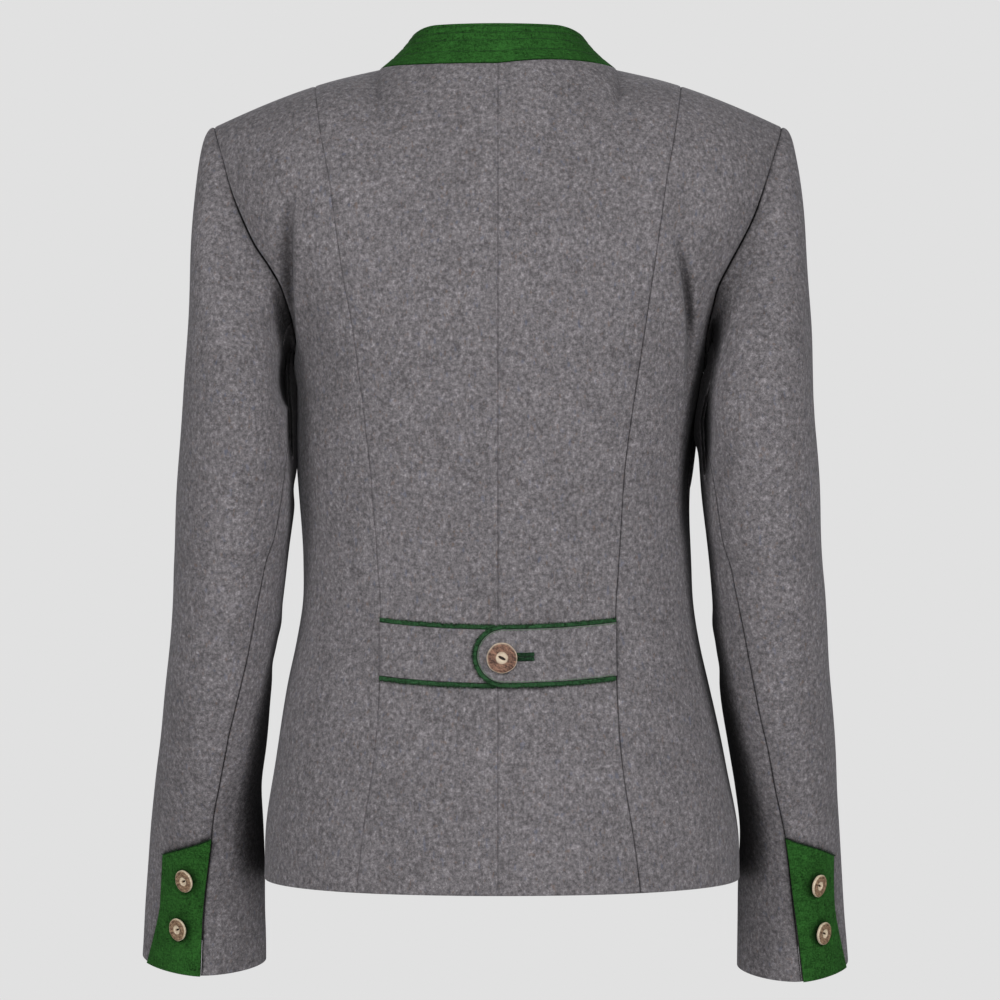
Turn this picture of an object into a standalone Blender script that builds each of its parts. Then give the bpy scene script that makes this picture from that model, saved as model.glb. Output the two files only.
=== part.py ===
"""Tyrolean loden jacket for a woman, worn shape with no wearer.

The cloth is a set of cut panels, each a wall of one cloth's thickness.  Every panel lies on one
of three worn surfaces: the body from hem to shoulder, the two sleeves, and the stand collar.
The wearer stands with the back towards -Y, so -X is the wearer's left.  Tables and named sizes
are in millimetres, and the model is built in metres with its origin between the two points
where the shoulder seams meet the neckline.
"""

import math

import bmesh
import bpy
import numpy as np

MM = 0.001

# Cloth and seams
CLOTH = 2.2          # thickness of the loden
FELT = 2.6           # thickness of the folded green felt of the collar
SEAM_GAP = 0.3       # clear space between two pieces
LAYER_GAP = 0.4      # clear space between a piece and what it lies on

# Body
HEM_HEIGHT = -575.7
UNDERARM_HEIGHT = -215.0
NECK_HALF_WIDTH = 84.0
SHOULDER_HALF_WIDTH = 202.0
SHOULDER_DROP = 41.3
SHOULDER_BOW = 4.2
BACK_NECK_DEPTH = 3.6
BACK_NECK_REACH = 62.0
FRONT_NECK_DEPTH = 72.0
FRONT_NECK_REACH = 86.0
LAP = 14.0           # how far each front passes the centre line
LAP_EASE = 13.0      # distance over which the under front steps in below the upper one

# Rows and columns of the panels
LOWER_ROWS = (0, 9, 19, 29, 37, 41.5, 45.5, 49.5, 54, 63, 75, 88)   # percent of the way to the underarm
UPPER_ROWS = 13      # underarm to shoulder
CENTRE_COLUMNS = 7
NECK_COLUMNS = 5     # columns of a centre panel that end at the neckline
SIDE_COLUMNS = 5

BODY_COLUMNS = ("height", "left", "right", "back", "front", "middle", "squareness")
BODY_SECTIONS = (
    (-576, 167.2, 171.8, 119, 112, 4, 2.20),
    (-540, 166.0, 171.2, 118, 112, 4, 2.20),
    (-494, 158.6, 162.5, 113, 109, 4, 2.20),
    (-436, 149.5, 149.5, 103, 105, 5, 2.25),
    (-408, 143.7, 143.7, 99, 103, 6, 2.25),
    (-379, 139.5, 139.5, 96, 102, 7, 2.30),
    (-351, 139.6, 138.2, 96, 104, 8, 2.30),
    (-308, 141.8, 137.2, 100, 112, 9, 2.35),
    (-270, 143.6, 139.8, 105, 123, 9, 2.40),
    (-230, 144.2, 143.8, 109, 130, 9, 2.40),
    (-190, 152.0, 152.0, 112, 127, 8, 2.35),
    (-150, 175.0, 175.0, 111, 117, 6, 2.30),
    (-110, 196.0, 196.0, 107, 106, 3, 2.30),
    (-60, 209.0, 209.0, 100, 97, 0, 2.30),
    (20, 209.0, 209.0, 100, 97, 0, 2.30),
)

PRINCESS_COLUMNS = ("height", "back", "front")
PRINCESS_SEAM = (
    (-576, 97.5, 96.0),
    (-528, 91.8, 90.0),
    (-487, 85.5, 84.0),
    (-428, 81.8, 79.0),
    (-368, 81.8, 77.0),
    (-321, 85.5, 81.0),
    (-280, 88.6, 88.0),
    (-236, 94.0, 92.0),
    (-205, 98.4, 95.0),
    (-167, 104.4, 100.0),
    (-132, 109.8, 106.0),
    (-96, 114.8, 113.0),
    (-60, 121.5, 121.0),
    (-16, 130.0, 130.0),
)

ARMHOLE_COLUMNS = ("height", "back", "front")
ARMHOLE = (
    (-197, 142.5, 145.0),
    (-181, 145.0, 147.0),
    (-160, 150.0, 150.5),
    (-145, 157.0, 154.5),
    (-130, 168.0, 160.5),
    (-112, 178.0, 169.5),
    (-90, 187.0, 181.0),
    (-66, 194.0, 191.5),
    (-43, 202.0, 202.0),
)

# Standing folds beside the back armholes.  across is the half-width of the fold, out is its
# height above the plain surface, and a negative out is a trough.
FOLD_COLUMNS = ("side", "top", "top_x", "bottom", "bottom_x", "across", "out")
BODY_FOLDS = (
    (1, -128, 128, -262, 139, 10.0, -5.5),
    (1, -150, 143, -262, 147, 8.0, 3.0),
    (1, -262, 118, -330, 139, 14.0, -3.0),
    (-1, -122, 138, -262, 136, 9.0, 2.5),
    (-1, -130, 150, -250, 150, 8.0, -4.0),
)

# Sleeves: outer and inner are the distances of the two outlines from the centre plane.
# The first and last rows lie past the ends of the tube and set its direction there.
SLEEVE_COLUMNS = (
    "height", "left_outer", "left_inner", "right_outer", "right_inner",
    "half_depth", "forward", "squareness", "back_seam", "front_seam",
)
SLEEVE_SECTIONS = (
    (-206, 219.0, 140.6, 220.0, 139.0, 63, -32, 2.15, 142, 222),
    (-250, 222.4, 142.1, 223.6, 140.5, 62, -28, 2.15, 142, 222),
    (-294, 226.2, 142.4, 226.4, 143.2, 60, -22, 2.10, 133, 221),
    (-350, 229.9, 150.0, 230.0, 150.2, 57, -12, 2.05, 123, 219),
    (-408, 232.7, 157.0, 234.8, 155.2, 53, -5, 2.00, 114, 217),
    (-450, 238.0, 163.2, 238.4, 159.3, 51, 4, 1.95, 107, 215),
    (-480, 242.0, 166.4, 240.7, 164.8, 49, 12, 1.90, 103, 215),
    (-508, 246.4, 169.6, 243.4, 170.4, 48, 21, 1.80, 101, 214),
    (-538, 250.0, 169.2, 246.3, 174.6, 46, 29, 1.75, 98, 213),
    (-582, 254.0, 168.6, 249.2, 173.6, 46, 40, 1.68, 92, 212),
    (-644, 259.0, 168.6, 254.8, 173.8, 46, 51, 1.65, 86, 211),
    (-690, 263.0, 168.6, 259.0, 174.0, 46, 58, 1.65, 81, 210),
)
CAP_ROWS = 7
CUFF_HEIGHTS = {-1: -639.5, 1: -644.0}   # the left sleeve hangs a little higher
TUBE_HEIGHTS = (-250, -288, -326, -364, -402, -440, -476, -510, -540, -566, -592, -618, -644)
BACK_SEAM_POINT = 10     # armhole points, counted from the shoulder, where the sleeve seams start
FRONT_SEAM_POINT = 11

# How a sleeve leaves the armhole: at the shoulder, the back, the underarm and the front.
# reach is how far it runs before it turns down.
CAP_COLUMNS = ("around", "sideways", "forward", "down", "reach", "rise")
CAP_START = (
    (0, 1.0, 0.0, -0.04, 15.5, 122.0),
    (90, 0.80, -0.30, 0.50, 26.0, 50.0),
    (180, 0.80, -0.10, 0.50, 5.5, 12.0),
    (270, 0.80, 0.25, 0.50, 26.0, 50.0),
    (360, 1.0, 0.0, -0.04, 15.5, 122.0),
)

# Stand collar
COLLAR_HEIGHT = 30.0
COLLAR_TOP_HALF_WIDTH = 61.5
COLLAR_TOP_BACK = 53.0
COLLAR_TOP_FRONT = 68.0
COLLAR_TOP_SIDE_RISE = 27.8
COLLAR_END_GAP = 1.5
COLLAR_HOLLOW = 2.0
COLLAR_ROWS = 4

# Half belt, in two pieces sewn into the back princess seams
BELT_CENTRE_HEIGHT = -413.8
BELT_END_HEIGHT = -409.2
BELT_HALF_WIDTH = 18.3
BELT_REACH = 82.0
BELT_CLOTH = 1.8
BELT_ROUND_CENTRE = 4.2
BELT_UNDER_END = 30.0
BELT_STEP_START = 31.0
BELT_STEP_END = 46.0
BELT_COLUMNS = 11
BELT_ROWS = 6
PIPING_WIDTH = 3.0
PIPING_THICKNESS = 1.5
WELT_LENGTH = 25.0
WELT_RISE = -0.8        # the buttonhole and the button lie a little under the belt's middle line
BELT_BUTTON_RISE = -1.6
WELT_WIDTH = 2.9
WELT_HEIGHT = 0.9

# Cuff patches: how far from the back seam, in degrees round the sleeve, at two heights
PATCH_CLOTH = 1.5
PATCH_GAP = 0.6
PATCH_SEAM_TOP = 110.0    # height of the patch at the seam, above the cuff edge
PATCH_FAR_TOP = 93.0
PATCH_TOP_ANGLE = 49.0
PATCH_WAIST_ANGLE = 46.0
PATCH_FOOT_ANGLE = 70.0
PATCH_COLUMNS = 5
PATCH_ROWS = 7

# Antler buttons
BELT_BUTTON_DIAMETER = 21.0
CUFF_BUTTON_DIAMETER = 16.2
FRONT_BUTTON_DIAMETER = 21.0
BUTTON_SEGMENTS = 16
FRONT_BUTTON_LIFT = 0.5
FRONT_BUTTON_HEIGHTS = (-98.0, -182.0, -266.0, -350.0, -434.0)
CUFF_BUTTON_HEIGHTS = (34.0, 73.0)   # above the cuff edge, along the sleeve
CUFF_BUTTON_OFFSET = {-1: 18.0, 1: 23.5}   # degrees round the sleeve from its back seam

GREY = (0.165, 0.155, 0.155, 1.0)
GREEN = (0.018, 0.095, 0.022, 1.0)
ANTLER = (0.30, 0.20, 0.13, 1.0)


# ---------------------------------------------------------------- curves and tables

def column(table, names, name):
    """One named column of a table, as an array."""
    return np.array([row[names.index(name)] for row in table], float)


def through(knots, values, at):
    """A smooth curve through the values at the knots, read at the places in at."""
    at = np.clip(np.asarray(at, float), knots[0], knots[-1])
    slopes = np.gradient(values, knots)
    i = np.clip(np.searchsorted(knots, at, side="right") - 1, 0, len(knots) - 2)
    span = knots[i + 1] - knots[i]
    t = (at - knots[i]) / span
    start = (1 + 2 * t) * (1 - t) ** 2 * values[i] + t * (1 - t) ** 2 * span * slopes[i]
    end = t * t * (3 - 2 * t) * values[i + 1] + t * t * (t - 1) * span * slopes[i + 1]
    return start + end


def read(table, names, name, at):
    """The named column of a table, read at the values in at of its first column."""
    return through(column(table, names, names[0]), column(table, names, name), at)


def smooth_step(value, start, end):
    t = np.clip((np.asarray(value, float) - start) / (end - start), 0, 1)
    return t * t * (3 - 2 * t)


def unit(vectors):
    return vectors / np.linalg.norm(vectors, axis=-1, keepdims=True)


# ---------------------------------------------------------------- the body's surface

def section_radius(turn, side, height):
    """Distance from a section's middle to the cloth, at an angle in degrees from the centre back."""
    angle = np.radians(turn)
    across = np.sin(angle)
    along = np.cos(angle)
    half_width = np.where(
        across * side < 0,
        read(BODY_SECTIONS, BODY_COLUMNS, "left", height),
        read(BODY_SECTIONS, BODY_COLUMNS, "right", height),
    )
    middle = read(BODY_SECTIONS, BODY_COLUMNS, "middle", height)
    half_depth = np.where(
        along > 0,
        read(BODY_SECTIONS, BODY_COLUMNS, "back", height) + middle,
        read(BODY_SECTIONS, BODY_COLUMNS, "front", height) - middle,
    )
    power = read(BODY_SECTIONS, BODY_COLUMNS, "squareness", height)
    total = np.abs(across / half_width) ** power + np.abs(along / half_depth) ** power
    return total ** (-1 / power)


def top_edge(turn, side):
    """Height and forward place of the neckline or the shoulder seam, at a turn from the centre back."""
    x = np.abs(section_radius(turn, side, 0.0) * np.sin(np.radians(turn)))
    is_back = np.cos(np.radians(turn)) > 0
    share = np.clip(x / NECK_HALF_WIDTH, 0, 1)
    dip = np.where(is_back, BACK_NECK_DEPTH * (1 - share**2), FRONT_NECK_DEPTH * (1 - share**2) ** 0.75)
    reach = np.where(is_back, -BACK_NECK_REACH, FRONT_NECK_REACH) * np.sqrt(1 - share**2)
    slope = SHOULDER_DROP / (SHOULDER_HALF_WIDTH - NECK_HALF_WIDTH)
    along = np.clip(x - NECK_HALF_WIDTH, 0, None)
    bow = SHOULDER_BOW * np.sin(np.pi * np.clip(along / (SHOULDER_HALF_WIDTH - NECK_HALF_WIDTH), 0, 1))
    return bow - dip - slope * along, reach


def fold_lift(x, height, side, facing_back):
    """How far the standing folds lift the cloth off the plain surface, fading out at the side."""
    on_back = smooth_step(facing_back, 0.15, 0.5)
    lift = np.zeros(np.broadcast(x, height).shape)
    for row in BODY_FOLDS:
        fold = dict(zip(FOLD_COLUMNS, row))
        run = (fold["top"] - height) / (fold["top"] - fold["bottom"])
        line = fold["top_x"] + (fold["bottom_x"] - fold["top_x"]) * run
        fade = np.sin(np.pi * np.clip(run, 0, 1)) ** 1.2
        shape = np.exp(-(((x - line) / fold["across"]) ** 2))
        lift = lift + (side == fold["side"]) * on_back * fold["out"] * fade * shape
    return lift


def body_point(turn, side, share):
    """A point of the body's outer surface.

    turn is the angle in degrees from the centre back towards the given side, and share is the
    part of the way from the hem to the neckline or shoulder seam.
    """
    turn, share = np.broadcast_arrays(np.asarray(turn, float), np.asarray(share, float))
    top, top_y = top_edge(turn, side)
    height = HEM_HEIGHT + share * (top - HEM_HEIGHT)
    radius = section_radius(turn, side, height)
    angle = np.radians(turn)
    x = radius * np.sin(angle)
    middle = read(BODY_SECTIONS, BODY_COLUMNS, "middle", height)
    plain_y = middle - radius * np.cos(angle)
    near_shoulder = smooth_step(np.abs(x), 45, 125)
    rounding = 160 - 50 * near_shoulder
    power = 1 / (1 + near_shoulder)
    down = np.clip((top - height) / rounding, 0, 1)
    y = top_y + (plain_y - top_y) * (1 - (1 - down) ** 3) ** power
    lift = fold_lift(np.abs(x), height, side, np.cos(angle))
    x = x + lift * np.sin(angle)
    y = y - lift * np.cos(angle)
    return np.stack([x * side, y, height], -1)


def body_normal(turn, side, share):
    """The direction straight out of the body's surface."""
    turn, share = np.broadcast_arrays(np.asarray(turn, float), np.asarray(share, float))
    step_turn = 0.4
    step_share = 0.0006
    low = np.clip(share - step_share, 0, 1)
    high = np.clip(share + step_share, 0, 1)
    across = body_point(turn + step_turn, side, share) - body_point(turn - step_turn, side, share)
    along = body_point(turn, side, high) - body_point(turn, side, low)
    return unit(np.cross(across, along)) * side


def turn_at(x, side, height, front):
    """The turn at which the body's section at this height is x wide, found by halving."""
    low = np.zeros(np.shape(height))
    high = np.full(np.shape(height), 90.0)
    for _ in range(40):
        mid = (low + high) / 2
        turn = 180 - mid if front else mid
        wide = section_radius(turn, side, height) * np.sin(np.radians(turn))
        low = np.where(wide < x, mid, low)
        high = np.where(wide < x, high, mid)
    return 180 - low if front else low


def share_of(height, side, turn):
    top, _ = top_edge(turn, side)
    return (height - HEM_HEIGHT) / (top - HEM_HEIGHT)


def underarm_share(side):
    return float(share_of(UNDERARM_HEIGHT, side, 90.0))


def seam_turn(kind, side, share, front):
    """The turn of a named seam at each share of the height."""
    share = np.asarray(share, float)
    table, names = (
        (PRINCESS_SEAM, PRINCESS_COLUMNS) if kind == "princess" else (ARMHOLE, ARMHOLE_COLUMNS)
    )
    heights = column(table, names, "height")
    turns = turn_at(column(table, names, "front" if front else "back"), side, heights, front)
    shares = share_of(heights, side, turns)
    shares[-1] = 1.0
    turn = through(shares, turns, share)
    if kind == "princess":
        return turn
    lowest = shares[0]
    bottom = underarm_share(side)
    rise = np.clip((share - bottom) / (lowest - bottom), 0, 1)
    return np.where(share < lowest, 90 + (turns[0] - 90) * np.sqrt(rise), turn)


def row_shares(side):
    """Shares of the rows: close together behind the belt and at both ends of the armhole."""
    bottom = underarm_share(side)
    lower = np.array(LOWER_ROWS) / 100 * bottom
    ease = (1 - np.cos(np.pi * np.linspace(0, 1, UPPER_ROWS + 1))) / 2
    return np.concatenate([lower, bottom + (1 - bottom) * ease])


def neck_share(columns, side, front):
    """Where the columns of a centre panel stand on its top edge, so that one ends at the neck's corner."""
    part = NECK_COLUMNS / CENTRE_COLUMNS
    edge = -LAP if front else 0.0
    start = math.asin(edge / NECK_HALF_WIDTH)
    along = start + (math.pi / 2 - start) * np.clip(columns / part, 0, 1)
    seam_x = PRINCESS_SEAM[-1][1]
    x = NECK_HALF_WIDTH * np.sin(along) + (seam_x - NECK_HALF_WIDTH) * np.clip(columns / part - 1, 0, None) * part / (1 - part)
    turn = turn_at(np.abs(x), side, np.zeros(len(columns)), front)
    turn = np.where(x < 0, 2 * (180 if front else 0) - turn, turn)
    return (turn - turn[0]) / (turn[-1] - turn[0])


# ---------------------------------------------------------------- meshes

def material(name, colour, roughness):
    made = bpy.data.materials.get(name)
    if made is None:
        made = bpy.data.materials.new(name)
        made.use_nodes = True
        shader = made.node_tree.nodes["Principled BSDF"]
        shader.inputs["Base Color"].default_value = colour
        shader.inputs["Roughness"].default_value = roughness
        made.diffuse_color = colour
    return made


def loden():
    return material("grey_loden", GREY, 0.95)


def felt():
    return material("green_felt", GREEN, 0.95)


def antler():
    return material("antler", ANTLER, 0.45)


def add_object(name, mesh, finish):
    mesh.materials.append(finish)
    made = bpy.data.objects.new(name, mesh)
    bpy.context.scene.collection.objects.link(made)
    mesh.shade_smooth()
    mesh.set_sharp_from_angle(angle=math.radians(50))
    return made


def grid_wall(name, outer, inner, finish):
    """A closed wall between two grids of points, joined round their four edges."""
    rows, columns = outer.shape[:2]
    made = bmesh.new()
    layers = [
        [[made.verts.new(point * MM) for point in row] for row in grid] for grid in (outer, inner)
    ]
    for j in range(rows - 1):
        for i in range(columns - 1):
            a, b = layers
            made.faces.new((a[j][i], a[j][i + 1], a[j + 1][i + 1], a[j + 1][i]))
            made.faces.new((b[j][i], b[j + 1][i], b[j + 1][i + 1], b[j][i + 1]))
    edge = [(0, i) for i in range(columns)]
    edge += [(j, columns - 1) for j in range(1, rows)]
    edge += [(rows - 1, i) for i in range(columns - 2, -1, -1)]
    edge += [(j, 0) for j in range(rows - 2, 0, -1)]
    for here, after in zip(edge, edge[1:] + edge[:1]):
        a, b = layers
        made.faces.new(
            (a[here[0]][here[1]], b[here[0]][here[1]], b[after[0]][after[1]], a[after[0]][after[1]])
        )
    bmesh.ops.triangulate(made, faces=made.faces)
    bmesh.ops.recalc_face_normals(made, faces=made.faces)
    if made.calc_volume(signed=True) < 0:
        bmesh.ops.reverse_faces(made, faces=made.faces)
    mesh = bpy.data.meshes.new(name)
    made.to_mesh(mesh)
    made.free()
    return add_object(name, mesh, finish)


# ---------------------------------------------------------------- body panels

def lap_inset(x, side):
    """How far the under front steps in, so that the upper one lies over it."""
    past = smooth_step(-x * side, -LAP - LAP_EASE, -LAP - 0.8)
    return (CLOTH + LAYER_GAP) * past


def lap_columns(first, last, columns):
    """Places of a front's columns: one spans the lap, one its step, and the rest are even."""
    lap = (first - 180) / (first - last)
    step = np.stack([0 * lap, 2.1 * lap, 3.1 * lap], 1)
    rest = np.linspace(0, 1, columns - 1)[None, 1:]
    return np.concatenate([step, step[:, 2:] + (1 - step[:, 2:]) * rest], axis=1)


def body_panel(name, side, start, end, columns, front=False, to_neck=False, under=False):
    """One cut panel between two seams, each given as turns for the rows."""
    shares = row_shares(side)[:, None]
    across = np.linspace(0, 1, columns + 1)[None, :]
    if front and to_neck:
        across = lap_columns(start(shares[:, 0]), end(shares[:, 0]), columns)
    if to_neck:
        settle = smooth_step(shares, 0.78, 1.0)
        at_top = neck_share(np.linspace(0, 1, columns + 1), side, front)
        across = across + settle * (at_top - across)
    first = start(shares[:, 0])[:, None]
    last = end(shares[:, 0])[:, None]
    half_gap = np.degrees(SEAM_GAP / 2 / 140.0) * np.sign(last - first)
    turns = (first + half_gap) + (last - first - 2 * half_gap) * across
    outer = body_point(turns, side, shares)
    normal = body_normal(turns, side, shares)
    if under:
        outer = outer - normal * lap_inset(outer[..., 0], side)[..., None]
    shoulder = smooth_step(shares, 0.995, 1.0)[..., None] * (~is_neck(turns, side))[..., None]
    outer = outer + shoulder * np.array([0, 1 if front else -1, 0]) * SEAM_GAP / 2
    normal = unit(normal * (1 - shoulder * np.array([0, 1, 0])))
    return grid_wall(name, outer, outer - normal * CLOTH, loden())


def is_neck(turn, side):
    x = np.abs(section_radius(turn, side, 0.0) * np.sin(np.radians(turn)))
    return x < NECK_HALF_WIDTH - 0.5


def lap_edge(side):
    """The turn of a front's edge, a fixed distance past the centre front."""
    def edge(shares):
        height = HEM_HEIGHT + shares * (-FRONT_NECK_DEPTH - HEM_HEIGHT)
        depth = section_radius(180.0, side, height)
        return 180 + np.degrees(np.arcsin(LAP / depth))
    return edge


def body_panels():
    for side, word in ((-1, "left"), (1, "right")):
        def princess(front, side=side):
            return lambda shares: seam_turn("princess", side, shares, front)

        def outer_edge(front, side=side):
            return lambda shares: seam_turn("armhole", side, shares, front)

        body_panel(f"back_{word}", side, lambda s: 0 * s, princess(False), CENTRE_COLUMNS, to_neck=True)
        body_panel(f"side_back_{word}", side, princess(False), outer_edge(False), SIDE_COLUMNS)
        body_panel(f"side_front_{word}", side, princess(True), outer_edge(True), SIDE_COLUMNS, front=True)
        body_panel(
            f"front_{word}", side, lap_edge(side), princess(True), CENTRE_COLUMNS,
            front=True, to_neck=True, under=side < 0,
        )


# ---------------------------------------------------------------- sleeves

def armhole_loop(side):
    """The armhole's points: from the shoulder down the back, under the arm and up the front."""
    shares = row_shares(side)[len(LOWER_ROWS):][::-1]
    back = body_point(seam_turn("armhole", side, shares, False), side, shares)
    front = body_point(seam_turn("armhole", side, shares[::-1], True), side, shares[::-1])
    return np.concatenate([back, front[1:]])


def arc_angles(loop):
    """Angles round a sleeve for the armhole's points: 0 at the shoulder, 180 under the arm."""
    lengths = np.linalg.norm(np.diff(loop, axis=0), axis=1)
    half = UPPER_ROWS
    back = np.concatenate([[0], np.cumsum(lengths[:half])])
    front = np.concatenate([[0], np.cumsum(lengths[half:])])
    return np.concatenate([180 * back / back[-1], (180 + 180 * front / front[-1])[1:]])


def sleeve_read(name, height):
    return read(SLEEVE_SECTIONS[::-1], SLEEVE_COLUMNS, name, height)


def sleeve_axis(side, height):
    word = "left" if side < 0 else "right"
    x = (sleeve_read(f"{word}_outer", height) + sleeve_read(f"{word}_inner", height)) / 2
    return np.stack([side * x, sleeve_read("forward", height), np.asarray(height, float)], -1)


def tube_point(side, height, around):
    """A point of the sleeve below the cap, at an angle round it: 0 outside, 90 at the back."""
    height, around = np.broadcast_arrays(np.asarray(height, float), np.asarray(around, float))
    word = "left" if side < 0 else "right"
    half_width = (sleeve_read(f"{word}_outer", height) - sleeve_read(f"{word}_inner", height)) / 2
    half_depth = sleeve_read("half_depth", height)
    power = sleeve_read("squareness", height)
    down = unit(sleeve_axis(side, height - 4) - sleeve_axis(side, height + 4))
    out = np.zeros(down.shape)
    out[..., 0] = side
    out = unit(out - (out * down).sum(-1, keepdims=True) * down)
    back = np.cross(down, out) * side
    angle = np.radians(around)
    total = np.abs(np.cos(angle) / half_width) ** power + np.abs(np.sin(angle) / half_depth) ** power
    radius = (total ** (-1 / power))[..., None]
    return sleeve_axis(side, height) + radius * (
        np.cos(angle)[..., None] * out + np.sin(angle)[..., None] * back
    )


def sleeve_columns(angles, first, last, start, end):
    """Angles of some armhole points, stretched to run from one seam to the other at each height."""
    chosen = angles[first:last + 1]
    share = (chosen - chosen[0]) / (chosen[-1] - chosen[0])
    return start[:, None] + (end - start)[:, None] * share[None, :]


def sleeve_surface(side, loop, heights, rounds):
    """Rows of points of one sleeve panel, from the armhole to the cuff."""
    top = tube_point(side, heights[0], rounds[0])
    below = tube_point(side, heights[0] - 2, rounds[0])
    falling = unit(below - top)
    around = np.mod(arc_angles_of(side, loop), 360.0001)
    knots = column(CAP_START, CAP_COLUMNS, "around")
    sideways, forward, down, reach, rise = (
        through(knots, column(CAP_START, CAP_COLUMNS, name), around)
        for name in CAP_COLUMNS[1:]
    )
    leaving = unit(np.stack([sideways * side, forward, -down], -1))
    start = loop + leaving * SEAM_GAP
    first = start + leaving * reach[:, None]
    second = top - falling * rise[:, None]
    rows = []
    for t in np.linspace(0, 1, CAP_ROWS + 1):
        rows.append(
            (1 - t) ** 3 * start + 3 * t * (1 - t) ** 2 * first
            + 3 * t * t * (1 - t) * second + t**3 * top
        )
    rows += [tube_point(side, h, a) for h, a in zip(heights[1:], rounds[1:])]
    return np.array(rows)


def arc_angles_of(side, part):
    """Angles round the sleeve of some of the armhole's points."""
    loop = armhole_loop(side)
    angles = arc_angles(loop)
    nearest = np.linalg.norm(loop[None, :, :] - part[:, None, :], axis=-1).argmin(1)
    return angles[nearest]


def sleeve_grid(side):
    """All points of one sleeve: rows down from the armhole, columns once round from the shoulder."""
    loop = armhole_loop(side)
    angles = arc_angles(loop)
    heights = np.array(TUBE_HEIGHTS, float)
    drop = (heights - heights[0]) / (heights[-1] - heights[0])
    heights = heights[0] + (CUFF_HEIGHTS[side] - heights[0]) * drop
    back_seam = sleeve_read("back_seam", heights)
    front_seam = sleeve_read("front_seam", heights)
    back_index = BACK_SEAM_POINT
    front_index = len(loop) - 1 - FRONT_SEAM_POINT
    upper_back = sleeve_columns(angles, 0, back_index, 0 * back_seam, back_seam)
    under = sleeve_columns(angles, back_index, front_index, back_seam, front_seam)
    upper_front = sleeve_columns(angles, front_index, len(loop) - 1, front_seam, 0 * front_seam + 360)
    rounds = np.concatenate([upper_back, under[:, 1:], upper_front[:, 1:]], axis=1)
    return sleeve_surface(side, loop, heights, rounds), back_index, front_index


def grid_normals(grid, closed):
    """Directions out of a grid of points whose columns run round, once round if it is closed."""
    ring = grid[:, :-1] if closed else grid
    if closed:
        across = np.roll(ring, -1, axis=1) - np.roll(ring, 1, axis=1)
        across = np.concatenate([across, across[:, :1]], axis=1)
    else:
        across = np.gradient(ring, axis=1)
    along = np.gradient(grid, axis=0)
    return unit(np.cross(across, along))


def outward(normals, grid):
    """The same directions, turned to point away from the middle of each row."""
    middle = grid.mean(axis=1, keepdims=True)
    facing = np.sign(((grid - middle) * normals).sum(-1).mean())
    return normals * facing


def pull_in(grid, amount):
    """The grid with its first and last columns moved in by the amount."""
    moved = grid.copy()
    moved[:, 0] += unit(grid[:, 1] - grid[:, 0]) * amount
    moved[:, -1] += unit(grid[:, -2] - grid[:, -1]) * amount
    return moved


def match_shoulder(normals, side):
    """The sleeve's directions, with those near the shoulder turned to match the body's there."""
    shares = row_shares(side)[len(LOWER_ROWS):][::-1]
    back = body_normal(seam_turn("armhole", side, shares, False), side, shares)
    front = body_normal(seam_turn("armhole", side, shares[::-1], True), side, shares[::-1])
    back[0, 1] = 0
    front[-1, 1] = 0
    body = np.concatenate([back, front[1:]])
    near = smooth_step(np.cos(np.radians(arc_angles(armhole_loop(side)))), 0.3, 0.95)[:, None]
    matched = normals.copy()
    for row, share in ((0, 1.0), (1, 0.4)):
        matched[row] = unit(normals[row] + near * share * (unit(body) - normals[row]))
    return matched


def sleeve_panels():
    for side, word in ((-1, "left"), (1, "right")):
        grid, back_index, front_index = sleeve_grid(side)
        normals = match_shoulder(outward(grid_normals(grid, True), grid), side)
        last = grid.shape[1] - 1
        under = np.arange(back_index, front_index + 1)
        upper = np.concatenate([np.arange(front_index, last), np.arange(0, back_index + 1)])
        for name, chosen in (("upper_sleeve", upper), ("under_sleeve", under)):
            outer = pull_in(grid[:, chosen], SEAM_GAP / 2)
            inner = pull_in((grid - normals * CLOTH)[:, chosen], SEAM_GAP / 2)
            grid_wall(f"{name}_{word}", outer, inner, loden())


# ---------------------------------------------------------------- collar

def neck_points(side, front):
    """The points of a centre panel along the neckline, from the centre to the shoulder seam."""
    across = np.linspace(0, 1, CENTRE_COLUMNS + 1)
    first = lap_edge(side)(np.array([1.0]))[0] if front else 0.0
    last = seam_turn("princess", side, np.array([1.0]), front)[0]
    turns = first + (last - first) * neck_share(across, side, front)
    return body_point(turns[:NECK_COLUMNS + 1], side, 1.0)


def collar_base():
    """The collar's lower edge on the neckline, from one end in front round the back to the other."""
    half = []
    for side in (-1, 1):
        back = neck_points(side, False)
        front = neck_points(side, True)
        share = (side * COLLAR_END_GAP / 2 - front[0, 0]) / (front[1, 0] - front[0, 0])
        end = front[0] + (front[1] - front[0]) * share
        half.append(np.concatenate([back[:-1], (back[-1:] + front[-1:]) / 2, front[-2:0:-1], [end]]))
    return np.concatenate([half[0][:0:-1], half[1]])


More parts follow.
